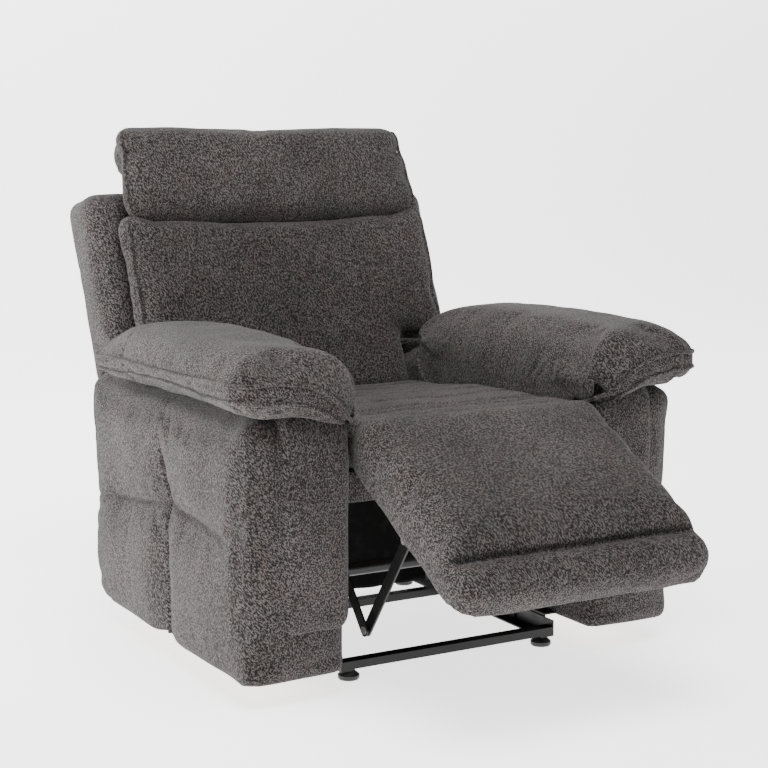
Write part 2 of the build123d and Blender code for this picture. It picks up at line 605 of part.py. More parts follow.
def headrest_board():
    return across(back_box(SPLIT_DEPTH, SPLIT_DEPTH + BOARD_THICK, BOARD_LOW_HEIGHT, BOARD_TOP_HEIGHT),
                  -BOARD_HALF_WIDTH, BOARD_HALF_WIDTH)


def back_side():
    """The padded side of the shell. It fills the low part's edge, and its wing goes over the arm."""
    inner = layer(1)[1]
    outline = back_box(SPLIT_DEPTH, PANEL_DEPTH, BACK_LOW_HEIGHT, SHELL_HEIGHT)
    low = across(outline, inner, BACK_LOW_HALF_WIDTH)
    behind = ARM_DEPTH + WING_BEHIND_ARM
    front_low = back_yz(SPLIT_DEPTH, height_at(SPLIT_DEPTH, WING_Z))
    rear_low = back_yz(PANEL_DEPTH, height_at(PANEL_DEPTH, WING_FLAP_BOTTOM))
    wing = rounded((*front_low, WING_ROUND / 4), (behind, WING_Z, WING_ROUND),
                   (behind, WING_FLAP_BOTTOM, WING_ROUND), (*rear_low, WING_ROUND / 4),
                   (*back_yz(PANEL_DEPTH, SHELL_HEIGHT), WING_ROUND / 4),
                   (*back_yz(SPLIT_DEPTH, SHELL_HEIGHT), SHELL_ROUND))
    shape = low + across(wing, BACK_LOW_HALF_WIDTH - 1, SHELL_HALF_WIDTH)
    return shape - across(back_box(SPLIT_DEPTH, SPLIT_DEPTH + BOARD_THICK, BOARD_LOW_HEIGHT, SHELL_HEIGHT),
                          inner - 1, BOARD_HALF_WIDTH)


def outside_back():
    """The padded panel over the rear of the shell, with a flap that closes the shell's top."""
    flap = height_at(SHELL_DEPTH, WING_FLAP_BOTTOM)
    upper = across(back_box(PANEL_DEPTH, SHELL_DEPTH, flap, SHELL_HEIGHT),
                   -SHELL_HALF_WIDTH, SHELL_HALF_WIDTH)
    lower = across(back_box(PANEL_DEPTH, SHELL_DEPTH, PANEL_LOW_HEIGHT, flap),
                   -BACK_LOW_HALF_WIDTH, BACK_LOW_HALF_WIDTH)
    top_depths = SPLIT_DEPTH + BOARD_THICK, PANEL_DEPTH + 1
    top = across(back_box(*top_depths, SHELL_HEIGHT - PANEL_THICK, SHELL_HEIGHT), -layer(1)[1], layer(1)[1])
    return upper + lower + top


def back_frame():
    """Wooden stiles and rails. The headrest's board is screwed to the front of the top rail."""
    low, high = BACK_LOW_HEIGHT + BACK_FRAME_END_GAP, SHELL_HEIGHT - PANEL_THICK
    half = BACK_FRAME_HALF_WIDTH
    whole = across(back_box(SPLIT_DEPTH, FRAME_REAR_DEPTH, low, high), -half, half)
    hole = across(back_box(SPLIT_DEPTH - 1, FRAME_REAR_DEPTH + 1, low + BACK_RAIL, high - BACK_RAIL),
                  -half + BACK_STILE, half - BACK_STILE)
    return whole - hole - headrest_board()


def back_webbing():
    """Elastic straps across the back, stapled between the stiles."""
    half = BACK_FRAME_HALF_WIDTH - BACK_STILE
    low, high = BACK_LOW_HEIGHT + 2 * BACK_RAIL, HEADREST_SEAM_HEIGHT
    pitch = (high - low) / BACK_STRAPS
    starts = [low + number * pitch for number in range(BACK_STRAPS)]
    front = SPLIT_DEPTH + STRAP_THICK
    return [across(back_box(front, front + STRAP_THICK, start, start + STRAP_WIDTH), -half, half)
            for start in starts]


def back_bracket():
    """The flat bar on the outside of the back's stile, down to the hinge."""
    return plate(1, on_back(bar((0, 0), (0, BACK_BRACKET_TOP), PLATE_LEG)), running=(BACK_PIVOT,))


node("back_frame", back_frame())
node("back_webbing", *back_webbing())
node("headrest_board", headrest_board())
node("back_cushion", back_cushion())
node("headrest_cushion", headrest_cushion())
node("outside_back", outside_back())
side_nodes("back_side", back_side())
side_nodes("back_bracket", back_bracket())

# ---------------------------------------------------------------- footrest and its linkage
FOOTREST_HALF_WIDTH = HALF_GAP - FOOTREST_SIDE_GAP
FOOTREST_BOARD_HALF_WIDTH = FOOTREST_HALF_WIDTH - FOOTREST_BOARD_SIDE_INSET


def on_footrest(outline):
    """Moves an outline drawn as (-along, up) into the footrest's place; along runs to the toe."""
    return Pos(*FOOTREST_CORNER) * Rot(0, 0, FOOTREST_SLOPE) * outline


def footrest_board():
    low, high = -(FOOTREST_LENGTH - FOOTREST_BOARD_TOE_INSET), -FOOTREST_BOARD_REAR_INSET
    outline = polygon((low, 0), (high, 0), (high, FOOTREST_BOARD), (low, FOOTREST_BOARD))
    return across(on_footrest(outline), -FOOTREST_BOARD_HALF_WIDTH, FOOTREST_BOARD_HALF_WIDTH)


def footrest_pad():
    """A crowned pad that wraps round the edges of its board."""
    length = FOOTREST_LENGTH
    outline = rounded((0, 0, FOOTREST_BOARD / 3), (0, FOOTREST_REAR_THICK, FOOTREST_REAR_THICK / 3),
                      (-length / 3, FOOTREST_CROWN, length / 3),
                      (-length * 0.84, FOOTREST_TOE_THICK, FOOTREST_TOE_THICK / 2),
                      (-length, FOOTREST_TOE_THICK * 0.8, FOOTREST_TOE_THICK / 2),
                      (-length, 0, FOOTREST_TOE_THICK / 4))
    return across(on_footrest(outline), -FOOTREST_HALF_WIDTH, FOOTREST_HALF_WIDTH) - footrest_board()


def footrest_bracket():
    """A bent plate: a flange on the board, and an ear that hangs down to the coupler's pin."""
    along = radians(180 + FOOTREST_SLOPE)
    reach = ((footrest_pin[0] - FOOTREST_CORNER[0]) * cos(along)
             + (footrest_pin[1] - FOOTREST_CORNER[1]) * sin(along))
    half = FOOTREST_BRACKET_LENGTH / 2
    root = on_footrest(polygon((-reach - half, 0), (-reach + half, 0), (-reach + half / 3, -LINK_WIDTH),
                               (-reach - half / 3, -LINK_WIDTH)))
    ear = bar(footrest_pin, polar(footrest_pin, LINK_WIDTH, FOOTREST_SLOPE + 90), LINK_WIDTH)
    over_board = on_footrest(polygon((-FOOTREST_LENGTH, 0), (0, 0), (0, PLATE_LEG),
                                     (-FOOTREST_LENGTH, PLATE_LEG)))
    shape = plate(3, root + ear - over_board, running=(footrest_pin,))
    low_x, high_x = layer(3)
    flange = on_footrest(polygon((-reach - half, -STEEL), (-reach + half, -STEEL), (-reach + half, 0),
                                 (-reach - half, 0)))
    return shape + across(flange, low_x - FOOTREST_FLANGE, high_x)


def crank():
    return plate(3, bar(CRANK_PIVOT, crank_end, LINK_WIDTH), pressed=(crank_end,), running=(CRANK_PIVOT,))


def coupler():
    return plate(4, bar(crank_end, footrest_pin, LINK_WIDTH), pressed=(footrest_pin,), running=(crank_end,))


node("footrest_board", footrest_board())
node("footrest_pad", footrest_pad())
side_nodes("footrest_bracket", footrest_bracket())
side_nodes("crank", crank())
node("torque_tube", tube(polar(CRANK_PIVOT, TORQUE_TUBE_ALONG, CRANK_ANGLE), TORQUE_TUBE_RADIUS, layer(3)[0]))
both_sides("crank_pins", pin(crank_end, 3, 4))
both_sides("coupler_links", coupler())
both_sides("coupler_pins", pin(footrest_pin, 4, 3))

# ---------------------------------------------------------------- release lever, on the right arm
LEVER_OUTER = HALF_GAP - LEVER_GAP
LEVER_INNER = LEVER_OUTER - LEVER_THICK


def release_lever():
    blade = across(bar(LEVER_PIVOT, LEVER_TOP, LEVER_WIDTH), LEVER_INNER, LEVER_OUTER)
    return blade - rod(LEVER_PIVOT, RUNNING_HOLE, LEVER_INNER - 1, LEVER_OUTER + 1)


def release_grip():
    run = degrees(atan2(LEVER_TOP[1] - LEVER_PIVOT[1], LEVER_TOP[0] - LEVER_PIVOT[0]))
    low_end, high_end = polar(LEVER_TOP, -GRIP_LENGTH / 4, run), polar(LEVER_TOP, GRIP_LENGTH / 4, run)
    middle = (LEVER_INNER + LEVER_OUTER) / 2
    grip = across(bar(low_end, high_end, GRIP_WIDTH), middle - GRIP_THICK / 2, middle + GRIP_THICK / 2)
    grip = chamfer(grip.faces().filter_by(Axis.X).edges(), GRIP_THICK / 6)
    return grip - across(bar(LEVER_PIVOT, LEVER_TOP, LEVER_WIDTH), LEVER_INNER, LEVER_OUTER)


def lever_pin():
    shaft = rod(LEVER_PIVOT, PIN_RADIUS, LEVER_INNER - HEAD_GAP, HALF_GAP)
    head = rod(LEVER_PIVOT, HEAD_RADIUS, LEVER_INNER - HEAD_GAP - HEAD_THICK, LEVER_INNER - HEAD_GAP)
    return shaft + head + rod(LEVER_PIVOT, HEAD_RADIUS, LEVER_OUTER + HEAD_GAP, HALF_GAP)


node("release_lever", mirrored(release_lever()))
node("release_grip", mirrored(release_grip()))
node("lever_pin", mirrored(lever_pin()))

# ---------------------------------------------------------------- move to the origin, and write
everything = Compound([solid for solids in NODES.values() for solid in solids]).bounding_box()
SHIFT_Y = -(everything.min.Y + everything.max.Y) / 2
size = everything.size

os.makedirs("parts", exist_ok=True)
for name, solids in NODES.items():
    placed = [Pos(0, SHIFT_Y, 0) * solid for solid in solids]
    shape = placed[0] if len(placed) == 1 else Compound(placed)
    export_step(shape, f"parts/{name}.step")
print(f"{len(NODES)} nodes, {size.X:.1f} x {size.Y:.1f} x {size.Z:.1f} mm, moved by {SHIFT_Y:.2f} along Y")
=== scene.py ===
# %% [markdown]
# A recliner armchair, upholstered over its frame.
# The frame, the mechanism and every joint come from a CAD model, which stays as it is.
# This lesson makes the soft parts as padded cloth over that frame, and gives each surface its finish.

# %% Load the frame
import json
import time
from math import cos, radians, sin

import bpy
import numpy as np
from mathutils import Euler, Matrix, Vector
from mathutils.bvhtree import BVHTree


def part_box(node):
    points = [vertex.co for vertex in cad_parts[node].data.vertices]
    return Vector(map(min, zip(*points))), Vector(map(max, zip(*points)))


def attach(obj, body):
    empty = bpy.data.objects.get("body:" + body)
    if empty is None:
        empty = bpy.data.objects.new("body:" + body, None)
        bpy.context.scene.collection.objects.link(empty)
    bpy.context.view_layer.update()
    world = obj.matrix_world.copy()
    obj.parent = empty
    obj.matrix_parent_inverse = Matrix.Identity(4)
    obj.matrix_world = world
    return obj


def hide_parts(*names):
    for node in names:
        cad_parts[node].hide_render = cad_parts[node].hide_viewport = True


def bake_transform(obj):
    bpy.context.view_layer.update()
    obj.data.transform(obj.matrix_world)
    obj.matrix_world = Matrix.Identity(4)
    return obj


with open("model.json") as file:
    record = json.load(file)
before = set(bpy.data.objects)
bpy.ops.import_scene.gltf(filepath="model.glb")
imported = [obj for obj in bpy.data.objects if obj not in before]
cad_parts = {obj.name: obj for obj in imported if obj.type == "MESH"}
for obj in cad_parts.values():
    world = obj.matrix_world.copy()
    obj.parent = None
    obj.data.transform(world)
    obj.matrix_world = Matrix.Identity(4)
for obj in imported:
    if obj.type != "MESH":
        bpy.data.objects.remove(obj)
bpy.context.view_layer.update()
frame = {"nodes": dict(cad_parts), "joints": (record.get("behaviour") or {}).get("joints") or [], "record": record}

NODES = frame["nodes"]
JOINTS = {joint["name"]: joint for joint in frame["joints"]}

# %% [markdown]
# The camera stands in front of the chair and to its right-hand side, at the height of the headrest.
# Its place is measured from the front of the arms, on the floor, halfway between them.
# A long lens keeps the chair's proportions calm, as in a catalogue.

# %% Camera
ARM_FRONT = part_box("left_arm_cover")[0].y
camera_data = bpy.data.cameras.new("camera")
camera_data.lens = 80.7
camera_data.sensor_width = 36.0
camera = bpy.data.objects.new("camera", camera_data)
camera.location = (-1.7304, ARM_FRONT - 2.6957, 1.0303)
camera.rotation_euler = Euler((radians(90 - 8.3), 0, radians(-29.62)))
bpy.context.scene.collection.objects.link(camera)
bpy.context.scene.camera = camera
print("camera", round((camera.location - Vector((0, 0, 0.5))).length, 2), "m from the chair")

# %% [markdown]
# A studio shows dark cloth with large soft lights. The key stands at the chair's right-hand side and a little
# behind it, so that the arm is bright and the fronts fall into shade. A wide one hangs overhead, in front.
# The floor and the wall behind are one white sheet that curves up. It glows, and has a light of its own.

# %% Floor and lights
def white_sweep(half_width, near, far, bend, height):
    """A sheet: level from near to far, a quarter circle of radius bend, then upright to the height."""
    turn = np.linspace(0, np.pi / 2, 17)
    y = np.concatenate([[near], far + bend * np.sin(turn), [far + bend]])
    z = np.concatenate([[0], bend * (1 - np.cos(turn)), [height]])
    points = [(x, a, b) for x in (-half_width, half_width) for a, b in zip(y, z)]
    count = len(y)
    faces = [(i, i + count, i + count + 1, i + 1) for i in range(count - 1)]
    mesh = bpy.data.meshes.new("white_sweep")
    mesh.from_pydata(points, [], faces)
    mesh.polygons.foreach_set("use_smooth", [True] * len(faces))
    sheet = bpy.data.objects.new("white_sweep", mesh)
    bpy.context.scene.collection.objects.link(sheet)
    paper = bpy.data.materials.new("white_paper")
    paper.use_nodes = True
    surface = paper.node_tree.nodes["Principled BSDF"].inputs
    surface["Base Color"].default_value = (0.93, 0.93, 0.93, 1.0)
    surface["Roughness"].default_value = 0.9
    surface["Emission Color"].default_value = (1.0, 1.0, 1.0, 1.0)
    surface["Emission Strength"].default_value = PAPER_GLOW
    mesh.materials.append(paper)
    return sheet


PAPER_GLOW = 2.2
white_sweep(9.0, -9.0, 3.0, 2.0, 8.0)
LIGHTS = {  # place, size and power of each soft light
    "key": ((-3.7, 0.9, 1.4), 2.0, 170.0),
    "overhead": ((-0.4, -1.1, 3.2), 2.0, 150.0),
    "wall": ((0.0, 1.6, 3.6), 3.0, 150.0),
}
AIMS = {"wall": Vector((0, 5, 2))}
for name, (place, size, power) in LIGHTS.items():
    lamp = bpy.data.lights.new(name, "AREA")
    lamp.size = size
    lamp.energy = power
    holder = bpy.data.objects.new(name, lamp)
    holder.location = place
    aim = AIMS.get(name, Vector((0, 0, 0.5)))
    holder.rotation_euler = (aim - Vector(place)).to_track_quat("-Z", "Y").to_euler()
    bpy.context.scene.collection.objects.link(holder)
world = bpy.data.worlds.new("surroundings")
bpy.context.scene.world = world
world.use_nodes = True
world.node_tree.nodes["Background"].inputs["Color"].default_value = (1.0, 1.0, 1.0, 1.0)
world.node_tree.nodes["Background"].inputs["Strength"].default_value = 0.02
print(len(LIGHTS), "lights over a white sweep")

# %% [markdown]
# A new piece is a surface worked out with numpy. All of them pass through one function that makes the mesh,
# with its faces turned outwards and shaded smooth.

# %% Helpers for meshes
def make_piece(name, points, quads):
    """A mesh object from an array of points and an array of four-cornered faces."""
    mesh = bpy.data.meshes.new(name)
    mesh.vertices.add(len(points))
    mesh.vertices.foreach_set("co", np.asarray(points, np.float32).ravel())
    mesh.loops.add(len(quads) * 4)
    mesh.loops.foreach_set("vertex_index", np.asarray(quads, np.int32).ravel())
    mesh.polygons.add(len(quads))
    mesh.polygons.foreach_set("loop_start", np.arange(0, 4 * len(quads), 4, dtype=np.int32))
    mesh.update(calc_edges=True)
    mesh.validate()
    piece = bpy.data.objects.new(name, mesh)
    bpy.context.scene.collection.objects.link(piece)
    smooth(piece)
    return piece


def smooth(piece):
    piece.data.polygons.foreach_set("use_smooth", np.ones(len(piece.data.polygons), bool))


def get_points(piece):
    flat = np.empty(len(piece.data.vertices) * 3, np.float32)
    piece.data.vertices.foreach_get("co", flat)
    return flat.reshape(-1, 3).astype(float)


def set_points(piece, points):
    piece.data.vertices.foreach_set("co", np.asarray(points, np.float32).ravel())
    piece.data.update()


def get_normals(piece):
    flat = np.empty(len(piece.data.vertices) * 3, np.float32)
    piece.data.vertices.foreach_get("normal", flat)
    return flat.reshape(-1, 3).astype(float)


def push(piece, amount):
    """Moves every point along its normal by its own amount."""
    set_points(piece, get_points(piece) + get_normals(piece) * np.asarray(amount)[:, None])


def bake(piece):
    """Replaces the mesh by what its modifiers make of it."""
    graph = bpy.context.evaluated_depsgraph_get()
    mesh = bpy.data.meshes.new_from_object(piece.evaluated_get(graph))
    piece.modifiers.clear()
    piece.data = mesh
    smooth(piece)


def ramp(value, low, high):
    """0 below low, 1 above high, and a smooth S between them."""
    t = np.clip((value - low) / (high - low), 0, 1)
    return t * t * (3 - 2 * t)


def bell(distance, width):
    """1 at distance 0, falling to nothing over about twice the width."""
    return np.exp(-(distance / width) ** 2)


def waves(points, length, seed):
    """Gentle unevenness between about -1 and 1: the mean of seven plane waves in seeded directions."""
    random = np.random.default_rng(seed)
    directions = random.normal(size=(7, 3))
    directions /= np.linalg.norm(directions, axis=1)[:, None]
    lengths = length * random.uniform(0.7, 1.6, 7)
    phases = random.uniform(0, 2 * np.pi, 7)
    angle = points @ directions.T * 2 * np.pi / lengths + phases
    return np.sin(angle).mean(1) * 1.8


print("helpers ready")

# %% [markdown]
# A cushion starts as a box with rounded edges. Each point of the box is pulled back to a smaller box inside
# it, and pushed out again by the radius, which rounds edges and corners alike. Boxes that overlap are joined
# into one skin by a voxel remesh, as foam blocks are glued before they are covered.

# %% Rounded boxes and one skin
def cube_surface(counts):
    """The surface of the cube from -1 to 1: a regular grid on each of its six faces, joined at the edges."""
    points, quads, start = [], [], 0
    for axis in range(3):
        a, b = (axis + 1) % 3, (axis + 2) % 3
        for sign in (-1, 1):
            steps = np.linspace(-1, 1, counts[a] + 1), np.linspace(-1, 1, counts[b] + 1)
            u, v = np.meshgrid(*steps, indexing="ij")
            face = np.empty(u.shape + (3,))
            face[..., axis], face[..., a], face[..., b] = sign, u, v
            index = np.arange(u.size).reshape(u.shape) + start
            corners = [index[:-1, :-1], index[1:, :-1], index[1:, 1:], index[:-1, 1:]]
            quads.append(np.stack(corners[::sign], -1).reshape(-1, 4))
            points.append(face.reshape(-1, 3))
            start += u.size
    points, quads = np.concatenate(points), np.concatenate(quads)
    _, first, inverse = np.unique(np.round(points, 6), axis=0, return_index=True, return_inverse=True)
    return points[first], inverse.ravel()[quads]


def soft_box(low, high, radius, step=0.012):
    """A rounded box, with a radius for each axis. Measured in radii, each point goes to the nearest point of
    the box inset by 1, plus 1 along the way back out, so its edges are quarter ellipses."""
    low, high = np.asarray(low, float), np.asarray(high, float)
    half, middle = (high - low) / 2, (high + low) / 2
    radius = np.minimum(np.broadcast_to(np.asarray(radius, float), 3), half * 0.999)
    surface, quads = cube_surface(np.maximum(np.ceil(2 * half / step).astype(int), 3))
    surface = surface * half / radius
    inset = half / radius - 1
    inner = np.clip(surface, -inset, inset)
    away = surface - inner
    away /= np.linalg.norm(away, axis=1)[:, None]
    return middle + (inner + away) * radius, quads


def joined(*parts):
    """Several sets of points and faces as one."""
    points, quads, start = [], [], 0
    for part_points, part_quads in parts:
        points.append(part_points)
        quads.append(part_quads + start)
        start += len(part_points)
    return np.concatenate(points), np.concatenate(quads)


def one_skin(piece, voxel, rounds=4):
    """Joins overlapping bodies into one even skin, and relaxes it."""
    remesh = piece.modifiers.new("skin", "REMESH")
    remesh.mode = "VOXEL"
    remesh.voxel_size = voxel
    relax = piece.modifiers.new("relax", "SMOOTH")
    relax.factor = 0.5
    relax.iterations = rounds
    bake(piece)
    return piece


SIM_FRAMES = 20


def plump(piece, pressure, reach, slack=0.0, sewn=None):
    """Fills the skin with air as cloth, for SIM_FRAMES frames. Slack is how much longer the cloth is than
    the skin. The cloth stays put where sewn, one number for each point, is over a half. No point ends up more
    than reach away from where it was."""
    started = time.time()
    before = get_points(piece)
    cloth = piece.modifiers.new("cloth", "CLOTH")
    settings = cloth.settings
    settings.quality = 5
    settings.mass = 0.3
    settings.tension_stiffness = settings.compression_stiffness = 15
    settings.shear_stiffness = 5
    settings.bending_stiffness = 0.3
    settings.air_damping = 2
    settings.shrink_min = -slack
    settings.use_pressure = True
    settings.uniform_pressure_force = pressure
    settings.effector_weights.gravity = 0
    if sewn is not None:
        group = piece.vertex_groups.new(name="sewn")
        for index in np.flatnonzero(sewn > 0.5):
            group.add([int(index)], float(sewn[index]), "REPLACE")
        settings.vertex_group_mass = "sewn"
    scene = bpy.context.scene
    for number in range(1, SIM_FRAMES + 1):
        scene.frame_set(number)
    graph = bpy.context.evaluated_depsgraph_get()
    mesh = bpy.data.meshes.new_from_object(piece.evaluated_get(graph))
    after = np.empty(len(mesh.vertices) * 3, np.float32)
    mesh.vertices.foreach_get("co", after)
    step = after.reshape(-1, 3) - before
    length = np.linalg.norm(step, axis=1)
    share = np.tanh(length / reach) * reach / np.maximum(length, 1e-9)
    piece.modifiers.clear()
    piece.vertex_groups.clear()
    set_points(piece, before + step * share[:, None])
    scene.frame_set(1)
    time.time() - started
    return piece


def finer(piece):
    """One round of subdivision, kept in the mesh."""
    divide = piece.modifiers.new("finer", "SUBSURF")
    divide.levels = divide.render_levels = 1
    bake(piece)
    return piece


print("a rounded box has", len(soft_box((0, 0, 0), (0.1, 0.1, 0.1), 0.02)[0]), "points at the usual step")

# %% [markdown]
# The back leans, and the footrest slopes. Both are easier to shape in a frame of their own, turned about the
# chair's width. The size of each CAD piece in such a frame is measured from its own points.

# %% Turned frames
class Turned:
    """A frame at origin, turned about X by angle: x stays, along and up turn from Y and Z."""

    def __init__(self, origin, angle):
        self.origin, self.c, self.s = np.array(origin, float), cos(angle), sin(angle)

    def local(self, points):
        p = np.asarray(points, float) - self.origin
        along, up = self.c * p[:, 1] + self.s * p[:, 2], -self.s * p[:, 1] + self.c * p[:, 2]
        return np.stack([p[:, 0], along, up], 1)

    def world(self, points):
        p = np.asarray(points, float)
        back, high = self.c * p[:, 1] - self.s * p[:, 2], self.s * p[:, 1] + self.c * p[:, 2]
        return np.stack([p[:, 0], back, high], 1) + self.origin

    def box(self, node):
        local = self.local(get_points(NODES[node]))
        return local.min(0), local.max(0)


BACK_LEAN = radians(22)
FOOTREST_SLOPE = radians(28)
back_hinge = np.array(JOINTS["back_recline"]["pos_m"])
on_back = Turned(back_hinge, -BACK_LEAN)
on_foot = Turned(JOINTS["footrest_open"]["pos_m"], FOOTREST_SLOPE)
for node in ("back_cushion", "headrest_cushion", "outside_back"):
    print(node, *[np.round(corner, 3) for corner in on_back.box(node)])
print("footrest_pad", *[np.round(corner, 3) for corner in on_foot.box("footrest_pad")])

# %% [markdown]
# A shader is written as Python expressions. `Link` wraps a socket, and every operator on it adds a Math node,
# so a mask can be written as it is read. Any other node comes from `Maker.node`.

# %% Shader expressions
class Link:
    """A shader socket that can be added, multiplied and so on."""

    def __init__(self, maker, socket):
        self.maker, self.socket = maker, socket

    def math(self, operation, *values, swap=False, clamp=False):
        terms = (self, *values)
        if swap:
            terms = (values[0], self)
        return self.maker.node("ShaderNodeMath", dict(operation=operation, use_clamp=clamp),
                               **{str(i): term for i, term in enumerate(terms)})

    def __add__(self, other): return self.math("ADD", other)
    def __radd__(self, other): return self.math("ADD", other)
    def __sub__(self, other): return self.math("SUBTRACT", other)
    def __rsub__(self, other): return self.math("SUBTRACT", other, swap=True)
    def __mul__(self, other): return self.math("MULTIPLY", other)
    def __rmul__(self, other): return self.math("MULTIPLY", other)
    def __pow__(self, other): return self.math("POWER", other)

    def between(self, low, high):
        """0 below low and 1 above high, with a smooth S between."""
        return self.maker.node("ShaderNodeMapRange", dict(interpolation_type="SMOOTHSTEP"),
                               **{"Value": self, "From Min": low, "From Max": high})


class Maker:
    """Builds one material."""

    def __init__(self, name):
        self.material = bpy.data.materials.new(name)
        self.material.use_nodes = True
        self.tree = self.material.node_tree
        self.tree.nodes.clear()

    def node(self, kind, settings=None, output=0, **inputs):
        """A node of that kind. Settings come first, then each input is a number, a colour or a link."""
        made = self.tree.nodes.new(kind)
        for key, value in (settings or {}).items():
            if key == "ramp":
                for element, (place, colour) in zip(stops(made, len(value)), value):
                    element.position, element.color = place, colour
            else:
                setattr(made, key, value)
        for key, value in inputs.items():
            socket = made.inputs[int(key) if key.isdigit() else key]
            if isinstance(value, Link):
                self.tree.links.new(value.socket, socket)
            else:
                socket.default_value = value
        return Link(self, made.outputs[output]) if made.outputs else made

    def place(self, turn=(0, 0, 0), scale=(1, 1, 1)):
        """The piece's own coordinates in metres, turned in degrees and then scaled."""
        own = self.node("ShaderNodeTexCoord", output="Object")
        turned = self.node("ShaderNodeMapping", **{"Vector": own, "Rotation": [radians(a) for a in turn]})
        return self.node("ShaderNodeMapping", **{"Vector": turned, "Scale": scale})

    def noise(self, vector, scale, detail=2.0, rough=0.5):
        return self.node("ShaderNodeTexNoise", **{"Vector": vector, "Scale": scale, "Detail": detail,
                                                  "Roughness": rough})

    def mix(self, factor, a, b):
        return self.node("ShaderNodeMix", dict(data_type="RGBA"), output=2, **{"0": factor, "6": a, "7": b})

    def finish(self, height=None, depth=0.001, strength=1.0, **inputs):
        """The surface: a Principled shader with these inputs, and a bump where there is a height."""
        settings = {key.replace("_", " "): value for key, value in inputs.items()}
        if height is not None:
            settings["Normal"] = self.node("ShaderNodeBump", **{"Height": height, "Distance": depth,
                                                                "Strength": strength})
        shader = self.node("ShaderNodeBsdfPrincipled", **settings)
        self.node("ShaderNodeOutputMaterial", **{"Surface": shader})
        return self.material


def stops(ramp_node, count):
    """The colour ramp's stops, with as many as needed."""
    elements = ramp_node.color_ramp.elements
    while len(elements) < count:
        elements.new(0.5)
    return elements


def grey(level, warmth=0.0):
    """A grey, a little red and less blue by its warmth."""
    return (level * (1 + warmth), level, level * (1 - warmth), 1.0)


print("shader helpers ready")

# %% [markdown]
# The cover is a charcoal chenille. Its pile lies in short diagonal flecks, paler than the ground between
# them, with a brown cast in places. Long noise, turned so that it is diagonal on every side of the chair,
# gives the flecks, and finer noise breaks them up. A broad noise paints soft clouds of lighter and darker pile
# into the colour: painted sheen, the shading that the pile's direction gives under light.

# %% Chenille
def chenille(name, level=1.0):
    m = Maker(name)
    slant = m.place(turn=(38, 24, 47), scale=(1, 1, 0.42))
    fleck = m.noise(slant, 450, 1.0, 0.5).between(0.43, 0.62)
    thread = m.noise(slant, 1100, 1.0, 0.6).between(0.35, 0.65)
    # painted sheen: broad clouds of lighter and darker pile, the shading of the pile's direction under light,
    # painted into the colour and the fleck mask
    painted_pile_sheen = m.noise(m.place(), 6, 3.0, 0.55).between(0.3, 0.7)
    brown = m.noise(m.place(), 22, 2.0, 0.6).between(0.45, 0.7)
    pale = m.mix(brown, (0.172 * level, 0.155 * level, 0.151 * level, 1),
                 (0.172 * level, 0.143 * level, 0.133 * level, 1))
    ground = m.mix(painted_pile_sheen, (0.0075 * level, 0.0066 * level, 0.0067 * level, 1),
                   (0.0125 * level, 0.0107 * level, 0.0106 * level, 1))
    mask = fleck * (0.22 + 0.14 * painted_pile_sheen + 0.46 * thread) + thread * 0.03
    return m.finish(Base_Color=m.mix(mask, ground, pale), Roughness=0.95 - 0.1 * fleck,
                    Sheen_Weight=0.08, Sheen_Roughness=0.5, Specular_IOR_Level=0.15,
                    height=fleck * 0.6 + thread * 0.4, depth=0.0007, strength=0.6)


cloth_material = chenille("charcoal_chenille", 0.93)
welt_material = chenille("charcoal_chenille_welt", 0.95)
print("cloth", len(cloth_material.node_tree.nodes), "nodes")

# %% [markdown]
# The hard parts are powder-coated steel, zinc-plated pins, dark spring wire, plywood, elastic webbing and
# moulded plastic. Each has its own small unevenness in colour, gloss and surface. A black lining cloth hangs
# behind the mechanism.

# %% Hard finishes
def powder_coat():
    m = Maker("black_powder_coat")
    grain = m.noise(m.place(), 900, 2.0)
    dust = m.noise(m.place(), 14, 4.0, 0.6).between(0.45, 0.8)
    return m.finish(Base_Color=m.mix(dust * 0.5, grey(0.004), grey(0.011, 0.05)),
                    Roughness=0.3 + 0.25 * dust + 0.08 * grain, Specular_IOR_Level=0.3,
                    height=grain, depth=0.00015, strength=0.5)


def zinc_plate():
    m = Maker("zinc_plate")
    spangle = m.node("ShaderNodeTexVoronoi", **{"Vector": m.place(), "Scale": 400.0})
    streak = m.noise(m.place(scale=(1, 1, 6)), 90, 3.0)
    return m.finish(Base_Color=m.mix(streak, grey(0.42), grey(0.6, 0.02)), Metallic=1.0,
                    Roughness=0.26 + 0.18 * streak + 0.1 * spangle, height=streak, depth=0.0001, strength=0.4)


def spring_wire():
    m = Maker("spring_wire")
    scale_marks = m.noise(m.place(), 260, 3.0).between(0.4, 0.7)
    return m.finish(Base_Color=m.mix(scale_marks, grey(0.07, 0.06), grey(0.2, 0.03)), Metallic=1.0,
                    Roughness=0.35 + 0.3 * scale_marks, height=scale_marks, depth=0.0001, strength=0.4)


def plywood():
    m = Maker("plywood")
    rings = m.noise(m.place(turn=(4, 3, 2), scale=(9, 1.2, 9)), 12, 5.0, 0.6)
    fibre = m.noise(m.place(scale=(60, 2, 60)), 18, 3.0)
    plies = m.node("ShaderNodeTexWave", dict(bands_direction="X"), output=1,
                   **{"Vector": m.place(), "Scale": 90.0, "Distortion": 0.4})
    wood = m.mix(rings.between(0.3, 0.7), (0.45, 0.29, 0.16, 1), (0.66, 0.48, 0.29, 1))
    return m.finish(Base_Color=m.mix(plies * 0.25, wood, (0.36, 0.22, 0.12, 1)), Roughness=0.62 + 0.2 * fibre,
                    height=rings + fibre, depth=0.0004, strength=0.5)


def webbing():
    m = Maker("elastic_webbing")
    rib, rib_x = [m.node("ShaderNodeTexWave", dict(bands_direction=axis), output=1,
                         **{"Vector": m.place(), "Scale": scale})
                  for axis, scale in (("Z", 120.0), ("X", 60.0))]
    weave = rib * rib_x
    return m.finish(Base_Color=m.mix(weave, grey(0.015), grey(0.07)), Roughness=0.85,
                    height=weave, depth=0.0005)


